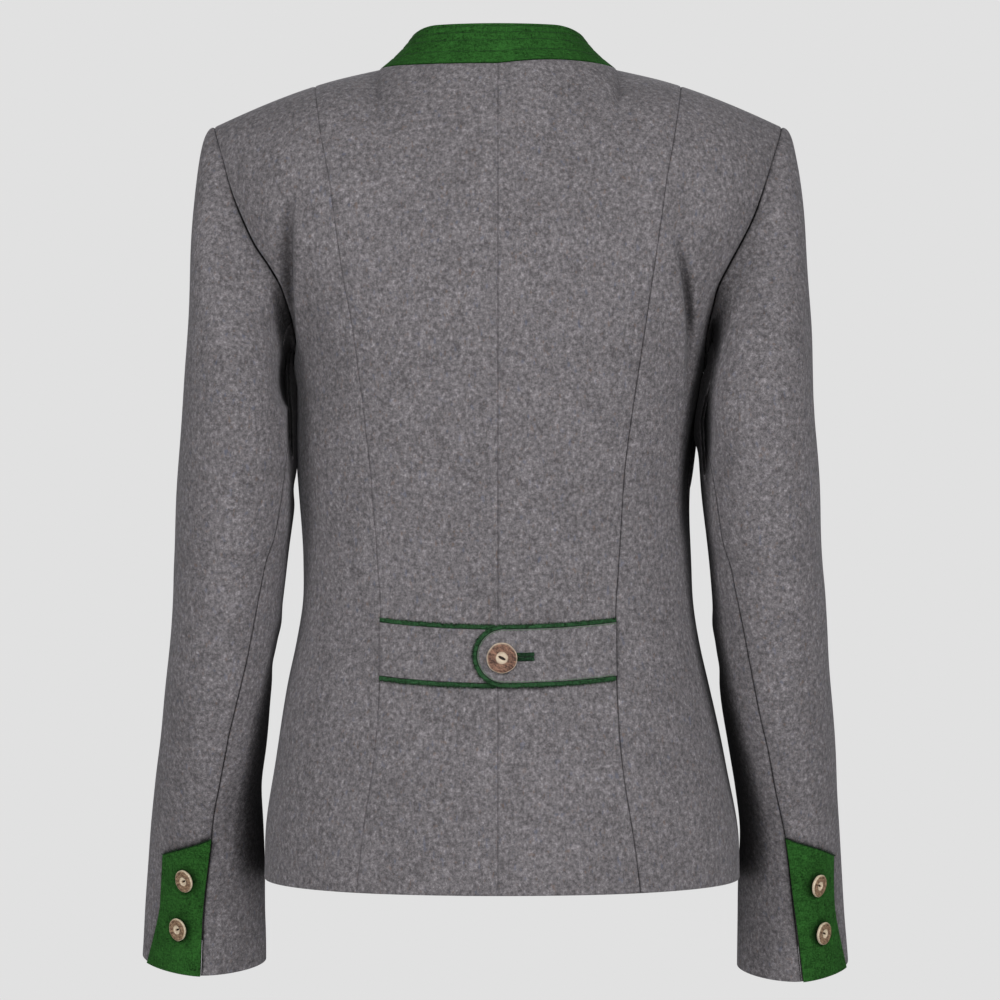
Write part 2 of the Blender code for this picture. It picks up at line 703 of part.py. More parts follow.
def collar_panel():
    """The stand collar: from the neckline up and in towards the neck, its ends meeting in front."""
    base = collar_base()
    side = np.sign(base[:, 0])
    reach = np.where(base[:, 1] < 0, BACK_NECK_REACH, FRONT_NECK_REACH)
    angle = np.arctan2(np.abs(base[:, 0]) / NECK_HALF_WIDTH, -base[:, 1] / reach)
    back_share = np.cos(angle)
    rise = COLLAR_TOP_SIDE_RISE + (COLLAR_HEIGHT - COLLAR_TOP_SIDE_RISE) * np.abs(back_share)
    top_reach = np.where(back_share > 0, COLLAR_TOP_BACK, COLLAR_TOP_FRONT)
    top_x = side * COLLAR_TOP_HALF_WIDTH * np.sin(angle)
    top_x[[0, -1]] = base[[0, -1], 0]
    top = np.stack([top_x, -top_reach * back_share, base[:, 2] + rise], -1)
    outward_way = np.stack([side * np.sin(angle), -back_share, 0 * angle], -1)
    rows = []
    for level in np.linspace(0, 1, COLLAR_ROWS + 1):
        hollow = COLLAR_HOLLOW * np.sin(np.pi * level)
        rows.append(base + (top - base) * level - outward_way * hollow)
    grid = np.array(rows)
    grid[0, :, 2] += SEAM_GAP
    inner = grid - outward_way * FELT
    return grid_wall("collar", grid, inner, felt())


# ---------------------------------------------------------------- half belt

def back_surface(x, height):
    """Point and outward direction of the back at a distance x from its centre and a height."""
    side = np.where(x < 0, -1, 1)
    turn_left = turn_at(np.abs(x), -1, height, False)
    turn_right = turn_at(np.abs(x), 1, height, False)
    points = np.where(
        (side < 0)[..., None],
        body_point(turn_left, -1, share_of(height, -1, turn_left)),
        body_point(turn_right, 1, share_of(height, 1, turn_right)),
    )
    normals = np.where(
        (side < 0)[..., None],
        body_normal(turn_left, -1, share_of(height, -1, turn_left)),
        body_normal(turn_right, 1, share_of(height, 1, turn_right)),
    )
    return points, normals


def belt_line(x):
    """Height of the belt's middle line."""
    return BELT_END_HEIGHT + (BELT_CENTRE_HEIGHT - BELT_END_HEIGHT) * (1 - (x / BELT_REACH) ** 2)


def belt_lift(x):
    """How far the upper belt piece stands off the back, over the end of the lower one."""
    over = 1 - smooth_step(x, BELT_STEP_START, BELT_STEP_END)
    return LAYER_GAP + (BELT_CLOTH + LAYER_GAP) * over


def laid(name, x, across, lift, thickness, finish):
    """A piece of cloth laid on the back, over the given places along and across the belt."""
    points, normals = back_surface(x, belt_line(x) + across)
    inner = points + normals * np.asarray(lift)[..., None]
    return grid_wall(name, inner + normals * thickness, inner, finish)


def belt_end(side, across):
    """Where the belt meets the princess seam."""
    height = belt_line(BELT_REACH) + across
    return side * (read(PRINCESS_SEAM, PRINCESS_COLUMNS, "back", height) - SEAM_GAP)


def belt_pieces():
    across = np.linspace(-1, 1, BELT_ROWS + 1)[:, None] * BELT_HALF_WIDTH
    along = np.linspace(0, 1, BELT_COLUMNS + 1)[None, :]
    x = belt_end(-1, across) * (1 - along) + BELT_UNDER_END * along
    laid("belt_left", x, across + 0 * x, LAYER_GAP + 0 * x, BELT_CLOTH, loden())

    rounded = np.sin(np.linspace(-1, 1, BELT_ROWS + 3) * math.pi / 2)[:, None] * BELT_HALF_WIDTH
    start = BELT_ROUND_CENTRE - np.sqrt(np.clip(BELT_HALF_WIDTH**2 - rounded**2, 0, None))
    x = start * (1 - along) + belt_end(1, rounded) * along
    laid("belt_right", x, rounded + 0 * x, belt_lift(x), BELT_CLOTH, loden())


def belt_piping():
    """Green piping that shows beyond the belt's edges."""
    width = np.array([SEAM_GAP, PIPING_WIDTH + SEAM_GAP])[:, None]
    along = np.linspace(0, 1, BELT_COLUMNS + 1)[None, :]
    hidden_end = BELT_ROUND_CENTRE - BELT_HALF_WIDTH - PIPING_WIDTH - 2 * SEAM_GAP
    for word, way in (("upper", 1), ("lower", -1)):
        across = way * (BELT_HALF_WIDTH + width)
        x = belt_end(-1, across) * (1 - along) + (BELT_ROUND_CENTRE - 6) * along
        laid(f"piping_left_{word}", x, across + 0 * x, LAYER_GAP + 0 * x, PIPING_THICKNESS, felt())
    turns = np.linspace(90, 270, 15)
    straight = np.linspace(1, 0, 8)[:-1]
    radius = BELT_HALF_WIDTH + width
    end_x = belt_end(1, np.array([BELT_HALF_WIDTH]))[0]
    x_top = BELT_ROUND_CENTRE + (end_x - BELT_ROUND_CENTRE) * straight
    x = np.concatenate(
        [
            np.repeat(x_top[None, :], 2, 0),
            BELT_ROUND_CENTRE + radius * np.cos(np.radians(turns))[None, :],
            np.repeat(x_top[::-1][None, :], 2, 0),
        ],
        axis=1,
    )
    across = np.concatenate(
        [
            np.repeat(radius, len(straight), 1),
            radius * np.sin(np.radians(turns))[None, :],
            -np.repeat(radius, len(straight), 1),
        ],
        axis=1,
    )
    laid("piping_right", x, across, belt_lift(x), PIPING_THICKNESS, felt())


def buttonhole():
    """Two green welts of the belt's buttonhole, between the button and the right end."""
    outer = LAYER_GAP * 2 + BELT_CLOTH * 2
    x = np.linspace(-1.0, WELT_LENGTH, 6)[None, :]
    for word, way in (("upper", 1), ("lower", -1)):
        across = way * np.array([SEAM_GAP / 2, WELT_WIDTH])[:, None] + 0 * x
        lift = outer + LAYER_GAP + 0 * (x + across)
        laid(f"buttonhole_{word}", x + 0 * across, across + WELT_RISE, lift, WELT_HEIGHT, felt())


# ---------------------------------------------------------------- cuff patches

def cuff_surface(side, up, around):
    """Point and outward direction of a sleeve at a height up from its cuff and an angle round it."""
    height = CUFF_HEIGHTS[side] + up
    points = tube_point(side, height, around)
    along = tube_point(side, height + 1, around) - tube_point(side, height - 1, around)
    across = tube_point(side, height, around + 1) - tube_point(side, height, around - 1)
    normals = unit(np.cross(across, along))
    axis = sleeve_axis(side, height)
    facing = np.sign(((points - axis) * normals).sum(-1, keepdims=True))
    return points, normals * facing


def patch_limits(up_share):
    """Angles round the sleeve between the seam and the patch's far edge."""
    foot = np.clip(1 - up_share / 0.55, 0, 1) ** 1.3
    return PATCH_TOP_ANGLE + (PATCH_WAIST_ANGLE - PATCH_TOP_ANGLE) * np.sin(np.pi * up_share) + (
        PATCH_FOOT_ANGLE - PATCH_TOP_ANGLE
    ) * foot


def cuff_patches():
    for side, word in ((-1, "left"), (1, "right")):
        along = np.linspace(0, 1, PATCH_ROWS + 1)[:, None]
        across = np.linspace(0, 1, PATCH_COLUMNS + 1)[None, :]
        up = along * (PATCH_SEAM_TOP + (PATCH_FAR_TOP - PATCH_SEAM_TOP) * across)
        seam = sleeve_read("back_seam", CUFF_HEIGHTS[side] + up)
        around = seam - 0.6 - patch_limits(along) * across
        points, normals = cuff_surface(side, up, around)
        inner = points + normals * PATCH_GAP
        grid_wall(f"cuff_patch_{word}", inner + normals * PATCH_CLOTH, inner, felt())


# ---------------------------------------------------------------- buttons

def button(name, diameter, place, facing, roll):
    """An antler button: a turned disc with a dished centre and a slot through it."""
    radius = diameter / 2
    dish = radius * 0.36
    profile = (
        (0.0, 0.3), (dish * 0.75, 0.3), (dish, 1.0), (radius * 0.84, 1.15), (radius, 0.35),
        (radius * 0.96, -1.0), (radius * 0.6, -1.6), (0.0, -1.6),
    )
    made = bmesh.new()
    verts = [made.verts.new((x * MM, 0, z * MM)) for x, z in profile]
    edges = [made.edges.new(pair) for pair in zip(verts, verts[1:])]
    bmesh.ops.spin(
        made, geom=verts + edges, cent=(0, 0, 0), axis=(0, 0, 1), angle=2 * math.pi,
        steps=BUTTON_SEGMENTS, use_merge=True,
    )
    bmesh.ops.remove_doubles(made, verts=made.verts, dist=1e-6)
    bmesh.ops.recalc_face_normals(made, faces=made.faces)
    if made.calc_volume(signed=True) < 0:
        bmesh.ops.reverse_faces(made, faces=made.faces)
    mesh = bpy.data.meshes.new(name)
    made.to_mesh(mesh)
    made.free()
    disc = add_object(name, mesh, antler())
    cutter = slot_cutter(name, diameter)
    cut = disc.modifiers.new("slot", "BOOLEAN")
    cut.object = cutter
    cut.operation = "DIFFERENCE"
    pose_on(disc, place, facing, roll)
    pose_on(cutter, place, facing, roll)
    return disc


def slot_cutter(name, diameter):
    """The tool that cuts a button's slot: a short bar with square ends, longer than the button is thick."""
    made = bmesh.new()
    bmesh.ops.create_cube(made, size=1.0)
    length, width, depth = diameter * 0.24, diameter * 0.075, 8.0
    bmesh.ops.scale(made, vec=(length * MM, width * MM, depth * MM), verts=made.verts)
    mesh = bpy.data.meshes.new(f"{name}_slot")
    made.to_mesh(mesh)
    made.free()
    cutter = bpy.data.objects.new(f"{name}_slot", mesh)
    bpy.context.scene.collection.objects.link(cutter)
    cutter.hide_render = True
    cutter.display_type = "WIRE"
    return cutter


def pose_on(made, place, facing, roll):
    """Puts an object at a place in millimetres with its Z axis along facing, rolled about it."""
    from mathutils import Matrix, Vector
    z = Vector(facing).normalized()
    x = Vector((0, 0, 1)).cross(z).normalized()
    y = z.cross(x)
    turn = Matrix((x, y, z)).transposed().to_4x4() @ Matrix.Rotation(roll, 4, "Z")
    made.matrix_world = Matrix.Translation(Vector(place) * MM) @ turn


def belt_button():
    x = np.array([2.8])
    points, normals = back_surface(x, belt_line(x) + BELT_BUTTON_RISE)
    lift = 3 * LAYER_GAP + 2 * BELT_CLOTH + WELT_HEIGHT + 1.6 + 0.2
    button("belt_button", BELT_BUTTON_DIAMETER, points[0] + normals[0] * lift, normals[0], math.radians(-27))


def front_buttons():
    for number, height in enumerate(FRONT_BUTTON_HEIGHTS, 1):
        share = share_of(np.array([height]), 1, np.array([180.0]))
        point = body_point(np.array([180.0]), 1, share)[0]
        normal = body_normal(np.array([180.0]), 1, share)[0]
        place = point + normal * (FRONT_BUTTON_LIFT + 1.6)
        button(f"front_button_{number}", FRONT_BUTTON_DIAMETER, place, normal, math.radians(25 * number))


def cuff_buttons():
    for side, word in ((-1, "left"), (1, "right")):
        for number, up in enumerate(CUFF_BUTTON_HEIGHTS, 1):
            seam = sleeve_read("back_seam", CUFF_HEIGHTS[side] + up)
            around = np.array([float(seam) - CUFF_BUTTON_OFFSET[side]])
            points, normals = cuff_surface(side, np.array([up]), around)
            lift = PATCH_GAP + PATCH_CLOTH + LAYER_GAP + 1.6 + 0.5
            button(
                f"cuff_button_{word}_{number}", CUFF_BUTTON_DIAMETER,
                points[0] + normals[0] * lift, normals[0], math.radians(-20 * side),
            )


# ---------------------------------------------------------------- the jacket

def main():
    for old in list(bpy.data.objects):
        bpy.data.objects.remove(old)
    body_panels()
    sleeve_panels()
    collar_panel()
    belt_pieces()
    belt_piping()
    buttonhole()
    cuff_patches()
    belt_button()
    front_buttons()
    cuff_buttons()


main()
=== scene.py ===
# Women's loden jacket, back view: grey loden panels, green felt trims, antler buttons.
# Lengths in the dictionaries are millimetres, turned to metres when a mesh is made.
import math

import bpy
import numpy as np
from mathutils import Matrix, Vector


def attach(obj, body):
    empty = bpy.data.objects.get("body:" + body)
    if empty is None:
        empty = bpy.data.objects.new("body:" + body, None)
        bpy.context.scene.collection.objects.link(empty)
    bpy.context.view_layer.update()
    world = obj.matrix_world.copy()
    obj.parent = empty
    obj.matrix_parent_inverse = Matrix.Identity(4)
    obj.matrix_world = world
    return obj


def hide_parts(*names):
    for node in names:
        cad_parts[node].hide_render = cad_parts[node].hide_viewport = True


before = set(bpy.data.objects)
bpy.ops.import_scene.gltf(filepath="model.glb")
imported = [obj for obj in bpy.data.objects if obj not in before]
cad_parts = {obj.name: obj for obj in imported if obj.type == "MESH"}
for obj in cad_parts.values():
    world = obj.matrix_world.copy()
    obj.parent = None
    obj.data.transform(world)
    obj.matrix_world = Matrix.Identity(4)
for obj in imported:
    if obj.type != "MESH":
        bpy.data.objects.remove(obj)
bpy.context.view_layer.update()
millimetre = 0.001


# ---- small tools for curves and grids

def smoothThrough(knots, values, at):
    # cubic pieces through the values at the knots, with the average slope at each knot
    knots, values = np.asarray(knots, float), np.asarray(values, float)
    at = np.clip(np.asarray(at, float), knots[0], knots[-1])
    slopes = np.gradient(values, knots)
    i = np.clip(np.searchsorted(knots, at, side="right") - 1, 0, len(knots) - 2)
    span = knots[i + 1] - knots[i]
    t = (at - knots[i]) / span
    return (
        (1 + 2 * t) * (1 - t) ** 2 * values[i] + t * (1 - t) ** 2 * span * slopes[i]
        + t * t * (3 - 2 * t) * values[i + 1] + t * t * (t - 1) * span * slopes[i + 1]
    )


def readTable(table, name, at):
    return smoothThrough(table["height"], table[name], at)


def smoothStep(value, start, end):
    t = np.clip((np.asarray(value, float) - start) / (end - start), 0, 1)
    return t * t * (3 - 2 * t)


def unit(vectors):
    return vectors / np.maximum(np.linalg.norm(vectors, axis=-1, keepdims=True), 1e-12)


def crowded(count, length, near):
    # even shares of a length, with more close to both ends, at the distances in near
    near = np.asarray(near, float) / length
    inside = np.linspace(near[-1], 1 - near[-1], count)[1:-1]
    return np.concatenate([near, inside, 1 - near[::-1]])


def ripple(a, b, waves):
    # a sum of long crossing sine waves: each is (wavelength, turn in degrees, start, height)
    total = np.zeros(np.broadcast(a, b).shape)
    for wavelength, turn, start, height in waves:
        way = math.radians(turn)
        total = total + height * np.sin(
            2 * np.pi * (a * math.cos(way) + b * math.sin(way)) / wavelength + start
        )
    return total


# ---- meshes

def addMesh(name, vertices, faces, material, uv=None, attribute=None, sharpAngle=40):
    mesh = bpy.data.meshes.new(name)
    mesh.from_pydata(np.asarray(vertices, float) * millimetre, [], np.asarray(faces).tolist())
    if uv is not None:
        corner = np.zeros(len(mesh.loops), int)
        mesh.loops.foreach_get("vertex_index", corner)
        layer = mesh.uv_layers.new(name="cloth")
        layer.data.foreach_set("uv", (np.asarray(uv, float)[corner] * millimetre).ravel())
    if attribute is not None:
        made = mesh.attributes.new("polish_and_slot_shade", "FLOAT", "POINT")
        made.data.foreach_set("value", np.asarray(attribute, float).ravel())
    mesh.shade_smooth()
    mesh.set_sharp_from_angle(angle=math.radians(sharpAngle))
    mesh.materials.append(material)
    piece = bpy.data.objects.new(name, mesh)
    bpy.context.scene.collection.objects.link(piece)
    return piece


def gridFaces(index):
    # quads of a grid of vertex numbers
    return np.stack([index[:-1, :-1], index[:-1, 1:], index[1:, 1:], index[1:, :-1]], -1).reshape(-1, 4)


def edgeDistances(grid):
    # how far each point of a grid lies from its first and last row and its first and last column
    across = np.linalg.norm(np.diff(grid, axis=1), axis=-1)
    along = np.linalg.norm(np.diff(grid, axis=0), axis=-1)
    fromLeft = np.concatenate([0 * across[:, :1], np.cumsum(across, axis=1)], axis=1)
    fromFoot = np.concatenate([0 * along[:1], np.cumsum(along, axis=0)], axis=0)
    return np.stack([fromFoot, fromFoot[-1:] - fromFoot, fromLeft, fromLeft[:, -1:] - fromLeft], -1)


def clothWall(name, outer, normal, thickness, material, roll=(1.2, 1.2, 2.2, 2.2), shift=0.0):
    # A closed cloth: the outer face curls down and the inner face curls up to meet half way
    # through the thickness at each of the four edges. roll is the width of the curl there.
    away = edgeDistances(outer)
    curl = lambda width: (1 - np.sqrt(1 - (1 - np.clip(away / width, 0, 1)) ** 2)).max(-1)
    outerDrop = thickness / 2 * curl(np.asarray(roll))
    innerDrop = thickness / 2 * curl(np.array([0.9] * 4))
    top = outer - normal * outerDrop[..., None]
    low = outer - normal * (thickness - innerDrop)[..., None]
    rows, columns = outer.shape[:2]
    over = np.arange(rows * columns).reshape(rows, columns)
    under = over.copy()
    under[1:-1, 1:-1] = rows * columns + np.arange((rows - 2) * (columns - 2)).reshape(rows - 2, columns - 2)
    faces = np.concatenate([gridFaces(over), gridFaces(under)[:, ::-1]])
    middle = (rows // 2, columns // 2)
    facing = np.cross(
        outer[middle[0], middle[1] + 1] - outer[middle[0], middle[1] - 1],
        outer[middle[0] + 1, middle[1]] - outer[middle[0] - 1, middle[1]],
    )
    if facing @ normal[middle] < 0:
        faces = faces[:, ::-1]
    vertices = np.concatenate([top.reshape(-1, 3), low[1:-1, 1:-1].reshape(-1, 3)])
    flat = np.stack([away[..., 2] + shift, away[..., 0] + 2.7 * shift], -1)
    uv = np.concatenate([flat.reshape(-1, 2), flat[1:-1, 1:-1].reshape(-1, 2)])
    return addMesh(name, vertices, faces, material, uv)


def gridNormals(grid):
    return unit(np.cross(np.gradient(grid, axis=1), np.gradient(grid, axis=0)))


def faceAway(normal, grid, middle):
    # the same directions, all turned away from a middle point or line
    return normal * np.sign(((grid - middle) * normal).sum(-1).mean())


def tubes(name, paths, radius, sides, material, taper=None):
    # Many thin tubes in one mesh. paths is (tubes, points, 3): each ring of points stands
    # round its path point, square to the path, and the ends close to a point.
    count, points = paths.shape[:2]
    way = unit(np.gradient(paths, axis=1))
    helper = np.where(np.abs(way[..., 2:]) > 0.9, [[[1.0, 0, 0]]], [[[0, 0, 1.0]]])
    first = unit(np.cross(way, helper))
    second = np.cross(way, first)
    turn = np.linspace(0, 2 * np.pi, sides, endpoint=False)
    size = np.broadcast_to(
        radius * (np.ones(points) if taper is None else np.asarray(taper)), (count, points),
    )
    ring = paths[:, :, None] + size[..., None, None] * (
        np.cos(turn)[None, None, :, None] * first[:, :, None] + np.sin(turn)[
            None, None, :, None,
        ] * second[:, :, None]
    )
    number = np.arange(count * points * sides).reshape(count, points, sides)
    after = np.roll(number, -1, axis=2)
    faces = np.stack([number[:, :-1], after[:, :-1], after[:, 1:], number[:, 1:]], -1).reshape(-1, 4)
    return addMesh(name, ring.reshape(-1, 3), faces, material, sharpAngle=180)


# ---- materials

def nodeGroup(name, inputs, outputs):
    tree = bpy.data.node_groups.new(name, "ShaderNodeTree")
    for label, kind, value in inputs:
        socket = tree.interface.new_socket(label, in_out="INPUT", socket_type=kind)
        socket.default_value = value
    for label, kind in outputs:
        tree.interface.new_socket(label, in_out="OUTPUT", socket_type=kind)
    return tree, tree.nodes.new("NodeGroupInput"), tree.nodes.new("NodeGroupOutput")


def mathNode(tree, operation, first, second=None, clamp=False):
    node = tree.nodes.new("ShaderNodeMath")
    node.operation, node.use_clamp = operation, clamp
    for socket, value in zip(node.inputs, (first, second)):
        if value is None:
            continue
        if isinstance(value, (int, float)):
            socket.default_value = value
        else:
            tree.links.new(value, socket)
    return node.outputs[0]


def noiseNode(tree, vector, scale, detail=2.0, rough=0.5, distortion=0.0):
    node = tree.nodes.new("ShaderNodeTexNoise")
    tree.links.new(vector, node.inputs["Vector"])
    for label, value in (
        ("Scale", scale), ("Detail", detail), ("Roughness", rough), ("Distortion", distortion),
    ):
        if isinstance(value, (int, float)):
            node.inputs[label].default_value = value
        else:
            tree.links.new(value, node.inputs[label])
    return node.outputs["Factor"] if "Factor" in node.outputs else node.outputs["Fac"]


def rampNode(tree, value, low, high, toLow=0.0, toHigh=1.0):
    node = tree.nodes.new("ShaderNodeMapRange")
    tree.links.new(value, node.inputs["Value"])
    for label, number in (("From Min", low), ("From Max", high), ("To Min", toLow), ("To Max", toHigh)):
        if isinstance(number, (int, float)):
            node.inputs[label].default_value = number
        else:
            tree.links.new(number, node.inputs[label])
    return node.outputs["Result"]


def mixColours(tree, share, first, second, kind="MIX"):
    node = tree.nodes.new("ShaderNodeMix")
    node.data_type, node.blend_type = "RGBA", kind
    for socket, value in ((node.inputs["Factor"], share), (node.inputs[6], first), (node.inputs[7], second)):
        if isinstance(value, (int, float, tuple)):
            socket.default_value = value
        else:
            tree.links.new(value, socket)
    return node.outputs[2]


def stretched(tree, vector, x, y, z):
    node = tree.nodes.new("ShaderNodeVectorMath")
    node.operation = "MULTIPLY"
    tree.links.new(vector, node.inputs[0])
    node.inputs[1].default_value = (x, y, z)
    return node.outputs[0]


def lodenGroup():
    # milled wool: pale and dark flecks drawn out down the cloth, slow clouds, rare coloured fibres
    tree, given, result = nodeGroup(
        "milled wool",
        (
            ("Vector", "NodeSocketVector", (0, 0, 0)), ("Colour", "NodeSocketColor", (0.18, 0.17, 0.18, 1)),
            ("Fleck Scale", "NodeSocketFloat", 340.0), ("Fleck Depth", "NodeSocketFloat", 0.84),
            ("Cloud Depth", "NodeSocketFloat", 0.085), ("Nap Height", "NodeSocketFloat", 0.0004),
        ),
        (("Colour", "NodeSocketColor"), ("Height", "NodeSocketFloat"), ("Normal", "NodeSocketVector")),
    )
    place = given.outputs["Vector"]
    long = stretched(tree, place, 1.0, 1.0, 0.95)
    fleck = noiseNode(tree, long, given.outputs["Fleck Scale"], 4.0, 0.88)
    streak = noiseNode(tree, stretched(tree, place, 1.0, 1.0, 0.2), 480.0, 1.0, 0.5)
    cloud = noiseNode(tree, place, 45.0, 2.0, 0.55)
    broad = noiseNode(tree, place, 9.0, 1.0, 0.5)
    mottle = mathNode(
        tree, "ADD", mathNode(tree, "SUBTRACT", fleck, 0.5),
        mathNode(tree, "MULTIPLY", mathNode(tree, "SUBTRACT", streak, 0.5), 0.1),
    )
    mottle = mathNode(tree, "MULTIPLY", mathNode(tree, "MULTIPLY", mottle, 5.0), given.outputs["Fleck Depth"])
    clouds = mathNode(
        tree, "ADD", mathNode(tree, "SUBTRACT", cloud, 0.5),
        mathNode(tree, "MULTIPLY", mathNode(tree, "SUBTRACT", broad, 0.5), 0.7),
    )
    clouds = mathNode(tree, "MULTIPLY", mathNode(tree, "MULTIPLY", clouds, 4.0), given.outputs["Cloud Depth"])
    bright = mathNode(tree, "POWER", 2.718, mathNode(tree, "ADD", mottle, clouds))
    scale = tree.nodes.new("ShaderNodeVectorMath")
    scale.operation = "SCALE"
    tree.links.new(given.outputs["Colour"], scale.inputs[0])
    tree.links.new(bright, scale.inputs["Scale"])
    warm = rampNode(
        tree, noiseNode(tree, stretched(tree, place, 1.0, 1.0, 0.5), 430.0, 1.0), 0.66, 0.75, 0, 0.45,
    )
    cool = rampNode(
        tree, noiseNode(tree, stretched(tree, place, 0.9, 1.2, 0.45), 370.0, 1.0), 0.66, 0.75, 0, 0.4,
    )
    tinted = mixColours(tree, warm, scale.outputs[0], (0.19, 0.13, 0.10, 1))
    tinted = mixColours(tree, cool, tinted, (0.13, 0.15, 0.22, 1))
    tree.links.new(tinted, result.inputs["Colour"])
    hairs = noiseNode(tree, stretched(tree, place, 1.0, 1.0, 0.6), 800.0, 2.0, 0.6, 0.8)
    height = mathNode(tree, "ADD", fleck, mathNode(tree, "MULTIPLY", hairs, 0.5))
    tree.links.new(height, result.inputs["Height"])
    bump = tree.nodes.new("ShaderNodeBump")
    bump.inputs["Strength"].default_value = 0.55
    tree.links.new(given.outputs["Nap Height"], bump.inputs["Distance"])
    tree.links.new(height, bump.inputs["Height"])
    tree.links.new(bump.outputs["Normal"], result.inputs["Normal"])
    return tree


def feltGroup():
    # pressed felt: short fibres lying every way, faint slow clouds
    tree, given, result = nodeGroup(
        "pressed felt",
        (
            ("Vector", "NodeSocketVector", (0, 0, 0)), ("Colour", "NodeSocketColor", (0.02, 0.08, 0.017, 1)),
            ("Fibre Depth", "NodeSocketFloat", 0.6), ("Fibre Height", "NodeSocketFloat", 0.0003),
        ),
        (("Colour", "NodeSocketColor"), ("Normal", "NodeSocketVector")),
    )
    place = given.outputs["Vector"]
    first = noiseNode(tree, stretched(tree, place, 1.0, 1.0, 0.35), 900.0, 2.0, 0.6, 1.2)
    second = noiseNode(tree, stretched(tree, place, 0.35, 0.6, 1.0), 760.0, 2.0, 0.6, 1.2)
    fibres = mathNode(tree, "SUBTRACT", mathNode(tree, "ADD", first, second), 1.0)
    cloud = mathNode(tree, "SUBTRACT", noiseNode(tree, place, 60.0, 2.0), 0.5)
    bright = mathNode(
        tree, "MULTIPLY",
        mathNode(
            tree, "ADD", mathNode(tree, "MULTIPLY", fibres, 3.5), mathNode(tree, "MULTIPLY", cloud, 1.2),
        ),
        given.outputs["Fibre Depth"],
    )
    scale = tree.nodes.new("ShaderNodeVectorMath")
    scale.operation = "SCALE"
    tree.links.new(given.outputs["Colour"], scale.inputs[0])
    tree.links.new(mathNode(tree, "ADD", bright, 1.0), scale.inputs["Scale"])
    tree.links.new(scale.outputs[0], result.inputs["Colour"])
    bump = tree.nodes.new("ShaderNodeBump")
    bump.inputs["Strength"].default_value = 0.5
    tree.links.new(given.outputs["Fibre Height"], bump.inputs["Distance"])
    tree.links.new(fibres, bump.inputs["Height"])
    tree.links.new(bump.outputs["Normal"], result.inputs["Normal"])
    return tree


def antlerGroup():
    # antler: brown bark in drawn-out streaks, paler bone where the polish mask is high; where the mask falls
    # below zero, in the slot, painted shade darkens the colour to near black
    tree, given, result = nodeGroup(
        "antler",
        (
            ("Vector", "NodeSocketVector", (0, 0, 0)), ("Polish and Slot Shade", "NodeSocketFloat", 0.0),
            ("Dark", "NodeSocketColor", (0.055, 0.022, 0.014, 1)),
            ("Light", "NodeSocketColor", (0.36, 0.19, 0.125, 1)),
            ("Bone", "NodeSocketColor", (0.74, 0.62, 0.47, 1)), ("Streak Scale", "NodeSocketFloat", 420.0),
        ),
        (("Colour", "NodeSocketColor"), ("Roughness", "NodeSocketFloat"), ("Normal", "NodeSocketVector")),
    )
    place = given.outputs["Vector"]
    long = stretched(tree, place, 0.3, 1.0, 1.0)
    streak = noiseNode(tree, long, given.outputs["Streak Scale"], 3.0, 0.6, 0.6)
    spots = noiseNode(tree, place, 900.0, 2.0, 0.6)
    share = rampNode(
        tree,
        mathNode(
            tree, "ADD", streak, mathNode(tree, "MULTIPLY", mathNode(tree, "SUBTRACT", spots, 0.5), 0.5),
        ),
        0.36, 0.66,
    )
    bark = mixColours(tree, share, given.outputs["Dark"], given.outputs["Light"])
    worn = mathNode(
        tree, "MULTIPLY", given.outputs["Polish and Slot Shade"], rampNode(tree, streak, 0.3, 0.6, 0.72, 1.0), True,
    )
    # painted shade: the slot's colour darkens where the mask is below zero
    shade = rampNode(tree, given.outputs["Polish and Slot Shade"], -1.0, 0.0, 0.08, 1.0)
    bone = mixColours(
        tree, rampNode(tree, spots, 0.35, 0.7, 0.0, 0.3), given.outputs["Bone"], given.outputs["Light"],
    )
    colour = mixColours(tree, worn, bark, bone)
    scale = tree.nodes.new("ShaderNodeVectorMath")
    scale.operation = "SCALE"
    tree.links.new(colour, scale.inputs[0])
    tree.links.new(shade, scale.inputs["Scale"])
    tree.links.new(scale.outputs[0], result.inputs["Colour"])
    tree.links.new(rampNode(tree, worn, 0.0, 1.0, 0.62, 0.42), result.inputs["Roughness"])
    bump = tree.nodes.new("ShaderNodeBump")
    bump.inputs["Strength"].default_value = 0.5
    bump.inputs["Distance"].default_value = 0.0004
    tree.links.new(streak, bump.inputs["Height"])
    tree.links.new(bump.outputs["Normal"], result.inputs["Normal"])
    return tree


def newMaterial(name):
    material = bpy.data.materials.new(name)
    material.use_nodes = True
    tree = material.node_tree
    return material, tree, tree.nodes["Principled BSDF"]


def setSockets(shader, values):
    for label, value in values.items():
        shader.inputs[label].default_value = value


def groupNode(tree, group, values, coordinates=None, attribute=None):
    node = tree.nodes.new("ShaderNodeGroup")
    node.node_tree = group
    for label, value in values.items():
        node.inputs[label].default_value = value
    if coordinates == "Object":
        tree.links.new(tree.nodes.new("ShaderNodeTexCoord").outputs["Object"], node.inputs["Vector"])
    else:
        place = tree.nodes.new("ShaderNodeUVMap")
        place.uv_map = coordinates
        tree.links.new(place.outputs["UV"], node.inputs["Vector"])
    if attribute:
        mask = tree.nodes.new("ShaderNodeAttribute")
        mask.attribute_name = attribute
        tree.links.new(mask.outputs["Fac"], node.inputs["Polish and Slot Shade"])
    return node


# painted shade: above the underarm, between these heights in metres, the shade painted into the
# cloth's colour is weaker; nowhere does it take more than all but the darkest share of its colour
shadeFade = {"heights": (-0.19, -0.14), "strength": 0.7, "darkest": 0.1}


